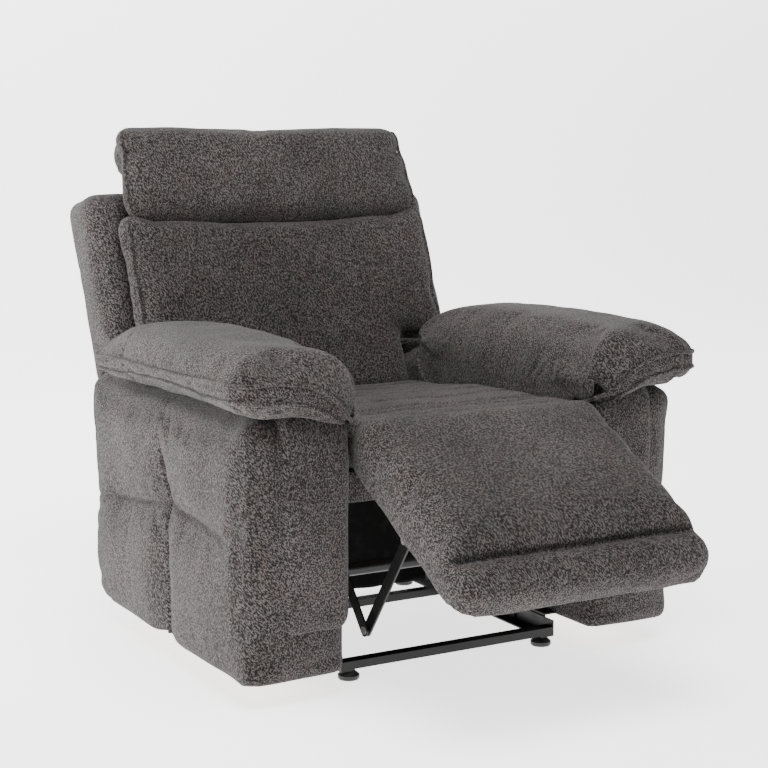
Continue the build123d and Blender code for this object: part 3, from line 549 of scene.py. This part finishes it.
def black_lining():
    m = Maker("black_lining")
    weave = m.noise(m.place(scale=(1, 1, 0.3)), 1500, 1.0)
    lint = m.noise(m.place(), 35, 3.0, 0.6).between(0.5, 0.75)
    return m.finish(Base_Color=m.mix(lint, grey(0.004), grey(0.009)), Roughness=0.9 - 0.1 * weave,
                    Specular_IOR_Level=0.1, height=weave, depth=0.0002, strength=0.4)


def moulded_plastic():
    m = Maker("moulded_plastic")
    grain = m.noise(m.place(), 1100, 2.0)
    wear = m.noise(m.place(), 60, 3.0).between(0.5, 0.8)
    return m.finish(Base_Color=m.mix(wear, grey(0.016), grey(0.035)),
                    Roughness=0.42 + 0.2 * grain + 0.1 * wear, height=grain, depth=0.0002, strength=0.5)


FINISHES = {"upholstery": cloth_material, "black_steel": powder_coat(), "zinc_steel": zinc_plate(),
            "spring_steel": spring_wire(), "plywood": plywood(), "webbing": webbing()}
FINISHES["black_plastic"] = FINISHES["grip_plastic"] = moulded_plastic()
SLOT_OF = {part["node"]: part["material_slot"] for part in frame["record"]["subparts"]}
for name, node in NODES.items():
    node.data.materials.clear()
    node.data.materials.append(FINISHES[SLOT_OF[name]])
print(len(FINISHES), "finishes on", len(NODES), "nodes")


def dress(piece, body, *replaced, material=cloth_material, fill=None):
    """Gives a cloth piece its finish, its body and the CAD pieces that it stands for."""
    piece.data.materials.clear()
    piece.data.materials.append(material)
    if replaced:
        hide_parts(*replaced)
    if body:
        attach(piece, body)
    print(piece.name, len(piece.data.polygons), "faces")
    return piece

# %% [markdown]
# A welt is a cord in a sleeve of the cover's cloth, sewn into a seam. It is a round tube along a line that
# lies on the cushion. The line is drawn near the cushion, and then dropped onto its nearest point.

# %% Welts
def tube_along(name, points, radius, closed=False, sides=10):
    """A tube: a circle across the line's direction at each point. Open ends shrink to a point."""
    points = np.asarray(points, float)
    ahead = np.roll(points, -1, 0) - np.roll(points, 1, 0)
    if not closed:
        ahead[0], ahead[-1] = points[1] - points[0], points[-1] - points[-2]
    ahead /= np.linalg.norm(ahead, axis=1)[:, None]
    side = np.cross(ahead, (0.31, 0.22, 0.93))
    side /= np.linalg.norm(side, axis=1)[:, None]
    up = np.cross(side, ahead)
    turn = np.linspace(0, 2 * np.pi, sides, endpoint=False)
    radii = np.full(len(points), radius)
    if not closed:
        radii[[0, -1]] = radius * 0.05
        radii[[1, -2]] = radius * 0.7
    ring = side[:, None] * np.cos(turn)[None, :, None] + up[:, None] * np.sin(turn)[None, :, None]
    grid = points[:, None] + ring * radii[:, None, None]
    index = np.arange(grid.shape[0] * sides).reshape(-1, sides)
    if closed:
        index = np.concatenate([index, index[:1]])
    left, right = index, np.roll(index, -1, 1)
    quads = np.stack([left[:-1], right[:-1], right[1:], left[1:]], -1).reshape(-1, 4)
    return make_piece(name, grid.reshape(-1, 3), quads)


def on_surface(piece, line, lift):
    """Drops each point of a line to the nearest point of the piece, and lifts it along the normal there."""
    tree = BVHTree.FromObject(piece, bpy.context.evaluated_depsgraph_get())
    dropped = [tree.find_nearest(Vector(point)) for point in line]
    places = np.array([hit[0] for hit in dropped])
    normals = np.array([hit[1] for hit in dropped])
    kernel = np.array([1, 2, 3, 2, 1]) / 9
    soft = np.stack([np.convolve(np.pad(normals[:, i], 2, "edge"), kernel, "valid") for i in range(3)], 1)
    placed = np.stack([np.convolve(np.pad(places[:, i], 2, "edge"), kernel, "valid") for i in range(3)], 1)
    return placed + soft * lift


def rounded_line(corners, radius, step=0.008, closed=False):
    """A line through corners with its turns rounded: straight runs, and a quadratic curve at each corner."""
    corners = [np.array(c, float) for c in corners]
    count = len(corners)
    order = range(count) if closed else range(1, count - 1)
    pieces = [] if closed else [corners[0][None]]
    for i in order:
        before, here, after = corners[i - 1], corners[i], corners[(i + 1) % count]
        reach_in = min(radius, np.linalg.norm(before - here) * 0.49)
        reach_out = min(radius, np.linalg.norm(after - here) * 0.49)
        a = here + (before - here) / np.linalg.norm(before - here) * reach_in
        b = here + (after - here) / np.linalg.norm(after - here) * reach_out
        t = np.linspace(0, 1, 9)[:, None]
        pieces.append((1 - t) ** 2 * a + 2 * t * (1 - t) * here + t**2 * b)
    if not closed:
        pieces.append(corners[-1][None])
    line = np.concatenate(pieces + ([pieces[0][:1]] if closed else []))
    lengths = np.concatenate([[0], np.cumsum(np.linalg.norm(np.diff(line, axis=0), axis=1))])
    samples = np.linspace(0, lengths[-1], max(int(lengths[-1] / step), 4), endpoint=not closed)
    return np.stack([np.interp(samples, lengths, line[:, i]) for i in range(3)], 1)


WELT_RADIUS = 0.0042


def welt(name, piece, body, corners, bend, radius=WELT_RADIUS, lift=0.3, closed=False):
    """A sewn welt on a piece, along a line through those corners."""
    line = on_surface(piece, rounded_line(corners, bend, closed=closed), radius * lift)
    tube = tube_along(name, line, radius, closed=closed)
    return dress(tube, body, material=welt_material)


def mirror_piece(piece, name):
    """The same piece on the other side: x changes sign, and the faces are turned round."""
    points = get_points(piece) * (-1, 1, 1)
    flat = np.empty(len(piece.data.loops), np.int32)
    piece.data.loops.foreach_get("vertex_index", flat)
    return make_piece(name, points, flat.reshape(-1, 4)[:, ::-1])


print("welts are", 2000 * WELT_RADIUS, "mm thick")

# %% [markdown]
# Each arm is a plywood frame under foam and one cover. On the outer side a stitched cross pulls the cover in
# to the frame, so the foam stands up between its lines in four soft pads, and the crossing is a deep pinch.
# The cover is a rounded box that is cut flat at its hem. Its rear lower corner has a large radius: there, a
# map from squares to circles about the corner's centre bends the sharp corner into a round one. Under the arm
# the cover is turned in over the frame's edge and stapled, so its middle is hollowed.

# %% Arm covers
def round_corner(points, axes, centre, signs):
    """Squares about the centre become circles: in one quadrant, each point is moved along its ray from the
    centre by the ratio of its larger coordinate to its distance."""
    a, b = axes
    da, db = (points[:, a] - centre[0]) * signs[0], (points[:, b] - centre[1]) * signs[1]
    inside = (da > 0) & (db > 0)
    ratio = np.where(inside, np.maximum(da, db) / np.maximum(np.hypot(da, db), 1e-9), 1.0)
    points[:, a] = centre[0] + (points[:, a] - centre[0]) * ratio
    points[:, b] = centre[1] + (points[:, b] - centre[1]) * ratio
    return points


ARM_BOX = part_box("left_arm_cover")
CROSS_PLACE = ARM_FRONT + 0.38
CROSS_HEIGHT = 0.315
HEM_DROP = 0.008  # how far the cover hangs below the arm
HEM_CUT = 0.03  # how much of the box below the hem is cut off, with its rounding
REAR_RADIUS = 0.095
HOLLOW = 0.018  # how far the underside is raised inside the hem
arm_low, arm_high = ARM_BOX
hem = arm_low.z - HEM_DROP


def quilt_lines(points):
    """How far each point is from the upright line of the cross, and from its level line. The level line falls
    from the crossing to both ends, faster towards the rear. The upright line fades out under the pillow."""
    across = points[:, 1] - CROSS_PLACE
    level = CROSS_HEIGHT - 0.048 * (across / 0.4).clip(0) ** 0.8 - 0.022 * (-across / 0.38).clip(0) ** 0.8
    return across, points[:, 2] - level


def quilt(points, width, pinch):
    """The cross on the outer side: a groove of unit depth along each line, and a pinch where they meet."""
    across, level = quilt_lines(points)
    outer = ramp(points[:, 0], arm_high.x - 0.045, arm_high.x - 0.01)
    upright = bell(across, width) * (1 - 0.85 * ramp(points[:, 2], 0.33, 0.47))
    lying = bell(level, width) * (1 - 0.75 * ramp(np.abs(across), 0.12, 0.36))
    return outer * (np.maximum(upright, lying) + pinch * bell(np.hypot(across, level), 0.03))


points, quads = soft_box((arm_low.x - 0.001, arm_low.y - 0.001, hem - HEM_CUT),
                         (arm_high.x + 0.005, arm_high.y + 0.001, arm_high.z), (0.036, 0.032, 0.036), 0.011)
points[:, 2] = np.maximum(points[:, 2], hem)
points = round_corner(points, (1, 2), (arm_high.y - REAR_RADIUS, hem + REAR_RADIUS), (1, -1))
left_arm = one_skin(make_piece("left_arm", points, quads), 0.008, 2)
start = get_points(left_arm)
swell = 0.006 * ramp(start[:, 0], arm_high.x - 0.012, arm_high.x + 0.002)
push(left_arm, swell - 0.013 * quilt(start, 0.04, 0.3))
start = get_points(left_arm)
held = quilt(start, 0.009, 1.0) + (start[:, 0] < arm_low.x + 0.012) + (start[:, 2] < arm_low.z + 0.012)
plump(left_arm, 2.5, 0.009, slack=0.015, sewn=held.clip(0, 1))
finer(left_arm)
start = get_points(left_arm)
push(left_arm, 0.0018 * waves(start, 0.15, 11) - 0.0065 * quilt(start, 0.0048, 0.7))
start = get_points(left_arm)
edge = np.minimum.reduce([start[:, 0] - arm_low.x, arm_high.x - start[:, 0],
                          start[:, 1] - arm_low.y, arm_high.y - 0.09 - start[:, 1]])
under = ramp(edge, 0.035, 0.045) * (1 - ramp(start[:, 2], arm_low.z + 0.004, arm_low.z + 0.008))
start[:, 2] += HOLLOW * under
set_points(left_arm, start)
right_arm = mirror_piece(left_arm, "right_arm")
push(right_arm, 0.0015 * waves(get_points(right_arm), 0.14, 12))
for side, piece in (("left", left_arm), ("right", right_arm)):
    dress(piece, "base", side + "_arm_cover", fill=0.85)

# %% [markdown]
# A raised pad runs up the front of each arm, bends over its top edge and ends under the pillow. It is drawn
# flat, with elliptic edges, and then bent: straight up, a quarter turn about the arm's top edge, and straight
# back.

# %% Front pads
def over_the_edge(points, foot, top, bend):
    """Bends a flat panel. Its height is a length along the path: up from the foot, a quarter circle of radius
    bend below the top, then level. Its depth, inwards, is taken from the circle's radius."""
    length, depth = points[:, 2], -points[:, 1]
    straight = top - bend - foot
    angle = ((length - straight) / bend).clip(0, np.pi / 2)
    beyond = (length - straight - bend * np.pi / 2).clip(0)
    y = bend - (bend + depth) * np.cos(angle) + beyond
    z = foot + length.clip(None, straight) + (bend + depth) * np.sin(angle)
    return np.stack([points[:, 0], y, z], 1)


pad_low, pad_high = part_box("left_arm_front_pad")
PAD_BEND = 0.036
pad_length = (arm_high.z - PAD_BEND - pad_low.z) + PAD_BEND * np.pi / 2 + 0.05
points, quads = soft_box((pad_low.x - 0.001, -0.019, 0), (pad_high.x, 0.02, pad_length),
                         (0.03, 0.02, 0.036), 0.007)
points = over_the_edge(points, pad_low.z, arm_high.z, PAD_BEND) + (0, ARM_FRONT, 0)
left_pad = finer(make_piece("left_front_pad", points, quads))
start = get_points(left_pad)
push(left_pad, 0.0014 * waves(start, 0.09, 21))
right_pad = mirror_piece(left_pad, "right_front_pad")
for side, piece in (("left", left_pad), ("right", right_pad)):
    dress(piece, "base", side + "_arm_front_pad", fill=0.8)

# %% [markdown]
# A loose-filled pillow lies on each arm, and its inner side hangs down beside the seat. Its cover has a
# crowned top panel and a boxing strip between two welts. The body, the hanging flap and the brow that joins
# them at the front are three boxes in one skin.

# %% Arm pillows
pillow_low, pillow_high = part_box("left_arm_pillow")
flap_front = pillow_low.y + 0.1
flap_side = pillow_low.x + 0.0135
flap_top = arm_high.z + 0.06
body = soft_box((pillow_low.x + 0.001, pillow_low.y, arm_high.z + 0.001),
                (pillow_high.x - 0.004, pillow_high.y + 0.004, pillow_high.z - 0.014), (0.085, 0.055, 0.06))
flap = soft_box((pillow_low.x, flap_front, pillow_low.z - 0.006),
                (flap_side, pillow_high.y - 0.03, flap_top), (0.006, 0.06, 0.03), 0.008)
brow = soft_box((pillow_low.x, ARM_FRONT - 0.012, 0.507),
                (flap_side, flap_front + 0.07, flap_top), (0.006, 0.03, 0.02), 0.008)
left_pillow = one_skin(make_piece("left_pillow", *joined(body, flap, brow)), 0.0055, 6)


def shape_pillow(points):
    """The top rises to a crown a third of the way back and falls to the rear. At the front the pillow's
    underside lifts off the arm towards the outer side and droops towards the seat."""
    along = (points[:, 1] - pillow_low.y) / (pillow_high.y - pillow_low.y)
    outward = (points[:, 0] - pillow_low.x) / (pillow_high.x - pillow_low.x)
    lifted = ramp(points[:, 2], arm_high.z + 0.03, arm_high.z + 0.1)
    crown = 0.014 * np.sin(np.pi * (along * 0.9 + 0.08).clip(0, 1)) - 0.02 * ramp(along, 0.75, 1.0)
    before_arm = ramp(-points[:, 1], -(ARM_FRONT - 0.002), -(ARM_FRONT - 0.04))
    droop = -0.045 * before_arm * (1 - ramp(outward, 0.0, 0.6))
    return points + np.stack([0 * along, 0 * along, lifted * crown + droop], 1)


set_points(left_pillow, shape_pillow(get_points(left_pillow)))
start = get_points(left_pillow)
plump(left_pillow, 3.0, 0.009, slack=0.035, sewn=(start[:, 2] < arm_high.z + 0.005).astype(float))
finer(left_pillow)
push(left_pillow, 0.0018 * waves(get_points(left_pillow), 0.11, 31))
right_pillow = mirror_piece(left_pillow, "right_pillow")
push(right_pillow, 0.0018 * waves(get_points(right_pillow), 0.12, 32))
BOXING = 0.037  # the width of the strip between the two welts


def pillow_line(lower):
    """The corners of a welt round the pillow: along the outer side, across the front, obliquely down to the
    inner flap, along its lower edge, and back up behind. The lower welt runs a boxing strip's width below."""
    drop = BOXING * lower
    front, back, inner, outer = pillow_low.y, pillow_high.y, pillow_low.x, pillow_high.x
    side = [(outer, back - 0.02, 0.58 - drop), (outer, front + 0.3, 0.586 - drop),
            (outer, front, 0.602 - drop)]
    end = [(outer - 0.08, front, 0.604 - drop), (inner + 0.09, front, 0.588 - drop),
           (inner + 0.03, front, 0.53 - drop)]
    if lower:
        return side + end
    edge_height = pillow_low.z + 0.004
    inside = [(inner, front + 0.05, 0.49), (inner, flap_front + 0.05, edge_height),
              (inner, back - 0.08, edge_height), (inner, back - 0.03, 0.52), (inner + 0.03, back, 0.575)]
    return side + end + inside


for side, piece, sign in (("left", left_pillow, 1), ("right", right_pillow, -1)):
    dress(piece, "base", side + "_arm_pillow", fill=0.7)
    for lower, title in ((0, "_pillow_upper_welt"), (1, "_pillow_lower_welt")):
        corners = [(sign * x, y, z) for x, y, z in pillow_line(lower)]
        welt(side + title, piece, "base", corners, 0.05, closed=not lower)

# %% [markdown]
# The seat cushion is a foam block under a loose cover. A sitter leaves it lowest at the back, and the cover
# keeps long soft creases across it.

# %% Seat cushion
seat_low, seat_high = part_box("seat_cushion")
points, quads = soft_box(seat_low + Vector((-0.001, 0, 0)), seat_high + Vector((0.001, 0, 0)),
                         (0.03, 0.04, 0.04))
seat = one_skin(make_piece("seat", points, quads), 0.008, 2)
start = get_points(seat)
share = (start[:, 1] - seat_low.y) / (seat_high.y - seat_low.y)
hollow = 0.03 * ramp(share, 0.25, 1.0) * ramp(start[:, 2], seat_low.z, seat_high.z)
set_points(seat, start - np.stack([0 * share, 0 * share, hollow], 1))
plump(seat, 2.5, 0.008, slack=0.03)
finer(seat)
start = get_points(seat)
creases = bell(np.mod(start[:, 1] + 0.006 * np.sin(start[:, 0] * 21), 0.085) - 0.04, 0.009)
push(seat, 0.0015 * waves(start, 0.12, 41) - 0.005 * creases * (start[:, 2] > seat_high.z - 0.06))
dress(seat, "seat", "seat_cushion", fill=0.85)

# %% [markdown]
# A thin black curtain hangs from the seat's frame and hides what is behind the mechanism. It is a sheet that
# is flat along the frame, where it is stapled, and falls into shallow folds below. An apron of the cover's
# cloth wraps the front of the seat's frame and runs back along its sides.

# %% Curtain and apron
curtain_low, curtain_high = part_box("dust_curtain")
x, z = np.meshgrid(np.linspace(curtain_low.x, curtain_high.x, 97),
                   np.linspace(curtain_low.z, curtain_high.z, 49), indexing="ij")
hang = (curtain_high.z - z) / (curtain_high.z - curtain_low.z)
FOLD_DEPTH = 0.004
fold = np.sin(2 * np.pi * x / 0.092 + 1.1 * np.sin(7 * z)) + 0.5 * np.sin(2 * np.pi * x / 0.21 + 2.0)
y = (curtain_low.y + curtain_high.y) / 2 + FOLD_DEPTH * fold * hang**0.7
cloth_grid = np.stack([x, y, z], -1)
index = np.arange(x.size).reshape(x.shape)
quads = np.stack([index[:-1, :-1], index[1:, :-1], index[1:, 1:], index[:-1, 1:]], -1).reshape(-1, 4)
curtain = make_piece("hanging_curtain", cloth_grid.reshape(-1, 3), quads)
dress(curtain, "seat", "dust_curtain", material=black_lining())
thick = curtain.modifiers.new("thick", "SOLIDIFY")
thick.thickness = 0.0009  # of the cloth

frame_low, frame_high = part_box("seat_frame")
WRAP = 0.0035  # how far the apron stands off the frame
apron_boxes = [soft_box((-frame_high.x - WRAP, frame_low.y - WRAP, frame_low.z - 0.005),
                        (frame_high.x + WRAP, frame_low.y + 0.022, frame_high.z + 0.006), 0.006, 0.008)]
for sign in (-1, 1):
    x = sorted((sign * (frame_high.x - 0.003), sign * (frame_high.x + WRAP)))
    apron_boxes.append(soft_box((x[0], frame_low.y + 0.01, frame_low.z - 0.005),
                                (x[1], frame_high.y, frame_high.z + 0.006), 0.003, 0.008))
apron = make_piece("seat_apron", *joined(*apron_boxes))
dress(apron, "seat")

# %% [markdown]
# The chaise pad is one cover from the seat to the toe. It crosses the gap between seat and footrest and bends
# there, as one piece that is attached to neither body. It is a long crowned pad and a tongue that lies on
# the seat's front. A seam across it near the toe sets off a lower roll, and stops short of both sides.
# Its sole is flat on the board.

# %% Chaise pad
foot_low, foot_high = on_foot.box("footrest_pad")
toe, heel, sole = foot_low[1], foot_high[1], foot_low[2]
width = foot_high[0]
PAD_LENGTH = 0.396  # from the heel to the seam
ROLL_SEAM = heel - PAD_LENGTH
DEEP = 0.06  # the box reaches this far below the sole, where it is cut flat
main, quads = soft_box((-width, toe, sole - DEEP), (width, heel - 0.004, sole + 0.087),
                       (0.034, 0.05, 0.05), 0.011)
main[:, 2] = np.maximum(main[:, 2], sole - 0.004)
toe_drop = ramp(ROLL_SEAM + 0.03 - main[:, 1], 0.0, 0.045) * ramp(main[:, 2], sole + 0.02, sole + 0.08)
main[:, 2] -= 0.013 * toe_drop
main = (on_foot.world(main), quads)
tongue = soft_box((-0.262, ARM_FRONT + 0.005, 0.446), (0.262, ARM_FRONT + 0.12, 0.507), (0.03, 0.03, 0.024))
chaise = one_skin(make_piece("chaise_pad", *joined(main, tongue)), 0.0065, 5)
start = on_foot.local(get_points(chaise))
upper = ramp(start[:, 2], sole + 0.04, sole + 0.08)
middle = (1 - (start[:, 0] / width) ** 4).clip(0)
middle *= np.sin(np.pi * ((heel - start[:, 1]) / PAD_LENGTH).clip(0, 1))
groove = bell(start[:, 1] - ROLL_SEAM, 0.017) * ramp(start[:, 2], sole + 0.03, sole + 0.065)
groove *= ramp(width - np.abs(start[:, 0]), 0.004, 0.03)
lifted = 0.01 * upper * middle - 0.014 * groove
set_points(chaise, on_foot.world(start + np.stack([0 * upper, 0 * upper, lifted], 1)))
start = on_foot.local(get_points(chaise))
stitched = (bell(start[:, 1] - ROLL_SEAM, 0.007) > 0.5) & (np.abs(start[:, 0]) < width - 0.02)
held = stitched | (start[:, 2] < sole + 0.004)
plump(chaise, 2.5, 0.007, slack=0.02, sewn=held.astype(float))
finer(chaise)
start = on_foot.local(get_points(chaise))
place = get_points(chaise)
seam = bell(start[:, 1] - ROLL_SEAM, 0.0055) * ramp(start[:, 2], sole + 0.03, sole + 0.06)
seam *= ramp(width - np.abs(start[:, 0]), 0.0, 0.03)
tuck = bell(place[:, 1] - (ARM_FRONT + 0.07), 0.004) * ramp(place[:, 2], 0.46, 0.48)
push(chaise, 0.0014 * waves(place, 0.13, 51) - 0.008 * seam - 0.0035 * tuck)
dress(chaise, None, "footrest_pad", fill=0.85)
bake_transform(chaise)

# %% [markdown]
# The back cushion is wide above the arms and narrow between them. The headrest is a roll above it that folds
# over the top of the shell: a box whose rear face steps back above the shell, where it is narrower. The two
# press on each other, and their seam hangs a little in the middle. A welt runs up both sides of each.

# %% Back cushion and headrest
def curve_seam(points, seam, depth):
    """The seam between cushion and headrest hangs in the middle: heights near it rise towards the sides."""
    lift = bell(points[:, 2] - seam, 0.09) * depth * (points[:, 0] / 0.36) ** 2
    return points + np.stack([0 * lift, 0 * lift, lift], 1)


def on_back_skin(name, boxes, voxel, rounds):
    points, quads = joined(*boxes)
    return one_skin(make_piece(name, on_back.world(points), quads), voxel, rounds)


cushion_low, cushion_high = on_back.box("back_cushion")
head_high = on_back.box("headrest_cushion")[1]
HEAD_SEAM = cushion_high[2]
SQUEEZE = 0.012  # how far cushion and headrest press into each other
face, rear = cushion_low[1], cushion_high[1]
wide = cushion_high[0]
cushion = on_back_skin("back_cushion_pad", [
    soft_box((-wide, face + 0.006, 0.205), (wide, rear + 0.004, HEAD_SEAM + SQUEEZE), (0.045, 0.036, 0.045)),
    soft_box((-0.26, face + 0.006, cushion_low[2]), (0.26, rear, 0.34), (0.03, 0.034, 0.035)),
], 0.008, 3)
start = on_back.local(get_points(cushion))
front = 1 - ramp(start[:, 1], face + 0.01, face + 0.03)
bulge = (1 - (start[:, 0] / 0.42) ** 4).clip(0)
bulge = bulge * np.sin(np.pi * ((start[:, 2] - 0.05) / 0.46).clip(0, 1)) ** 0.7
start[:, 1] -= 0.013 * front * bulge
set_points(cushion, on_back.world(curve_seam(start, HEAD_SEAM, 0.02)))
start = on_back.local(get_points(cushion))
plump(cushion, 2.5, 0.009, slack=0.02, sewn=(start[:, 1] > rear - 0.006).astype(float))
finer(cushion)
push(cushion, 0.0018 * waves(get_points(cushion), 0.15, 61))
dress(cushion, "back", "back_cushion", fill=0.85)

half = head_high[0]
STEP_LOW, STEP_HIGH = 0.625, 0.665  # the heights between which the rear face steps back
points, quads = soft_box((-half, 0, HEAD_SEAM - SQUEEZE), (half, 1, head_high[2] + 0.002),
                         (0.045, 0.42, 0.048))  # its depth is a share, from 0 at the front to 1 behind
thickness = (rear - face) + (head_high[1] - rear) * ramp(points[:, 2], STEP_LOW, STEP_HIGH)
points[:, 1] = face + 0.004 + points[:, 1] * thickness
points[:, 0] *= 1 - 0.085 * ramp(points[:, 1], rear - 0.05, rear + 0.02)
points = on_back.world(curve_seam(points, HEAD_SEAM, 0.02))
headrest = one_skin(make_piece("headrest_pad", points, quads), 0.008, 3)
start = on_back.local(get_points(headrest))
front = 1 - ramp(start[:, 1], face + 0.01, face + 0.05)
share = ((start[:, 2] - HEAD_SEAM) / (head_high[2] - HEAD_SEAM)).clip(0, 1)
start[:, 1] -= front * 0.012 * np.sin(np.pi * share**0.8) * (1 - (start[:, 0] / 0.4) ** 4)
set_points(headrest, on_back.world(start))
start = on_back.local(get_points(headrest))
plump(headrest, 2.5, 0.008, slack=0.02, sewn=(start[:, 1] > head_high[1] - 0.01).astype(float))
finer(headrest)
push(headrest, 0.0016 * waves(get_points(headrest), 0.13, 62))
dress(headrest, "back", "headrest_cushion", fill=0.85)

WELT_INSET = 0.012  # of the side welts, from the side and from the face
for piece, low, high, edge in ((cushion, 0.23, HEAD_SEAM + 0.012, wide),
                               (headrest, HEAD_SEAM + 0.012, head_high[2], half)):
    for side, sign in (("left", 1), ("right", -1)):
        line = [(sign * (edge - WELT_INSET), face + WELT_INSET, z) for z in np.linspace(low, high, 9)]
        welt(f"{piece.name}_{side}_welt", piece, "back", on_back.world(np.array(line)), 0.02)
print("headrest seam", round(HEAD_SEAM, 3), "m up the back")

# %% [markdown]
# Behind them stands the shell: a panel across the back, with padded sides that come forward beside the
# cushion, and a narrow part that hangs between the arms. The sides' tops slope, so that they are level from
# front to back.

# %% Back shell
side_low, side_high = on_back.box("left_back_side")
panel_low, panel_high = on_back.box("outside_back")
outer, back_face = side_high[0] + 0.011, panel_high[1] + 0.01
NARROW = 0.262  # half the width of the panel's lower part
SHELL_TOP = 0.632
boxes = [soft_box((-outer, 0.058, 0.172), (outer, back_face, SHELL_TOP), (0.035, 0.03, 0.045)),
         soft_box((-NARROW, panel_low[1] - 0.006, panel_low[2]), (NARROW, back_face, 0.25),
                  (0.02, 0.011, 0.03))]
for sign in (-1, 1):
    x = sorted((sign * 0.29, sign * outer))
    boxes.append(soft_box((x[0], rear + 0.006, 0.236), (x[1], back_face, SHELL_TOP), (0.034, 0.045, 0.05)))
shell = on_back_skin("back_shell", boxes, 0.0085, 3)
start = on_back.local(get_points(shell))
forward = ((back_face - start[:, 1]) / (back_face - rear)).clip(0, 1)
start[:, 2] -= 0.04 * ramp(start[:, 2], 0.5, 0.63) * forward
set_points(shell, on_back.world(start))
plump(shell, 2.0, 0.006, slack=0.01)
finer(shell)
push(shell, 0.0016 * waves(get_points(shell), 0.17, 71))
dress(shell, "back", "left_back_side", "right_back_side", "outside_back", fill=0.9)
print("side", side_low, side_high, "panel", panel_low, panel_high)
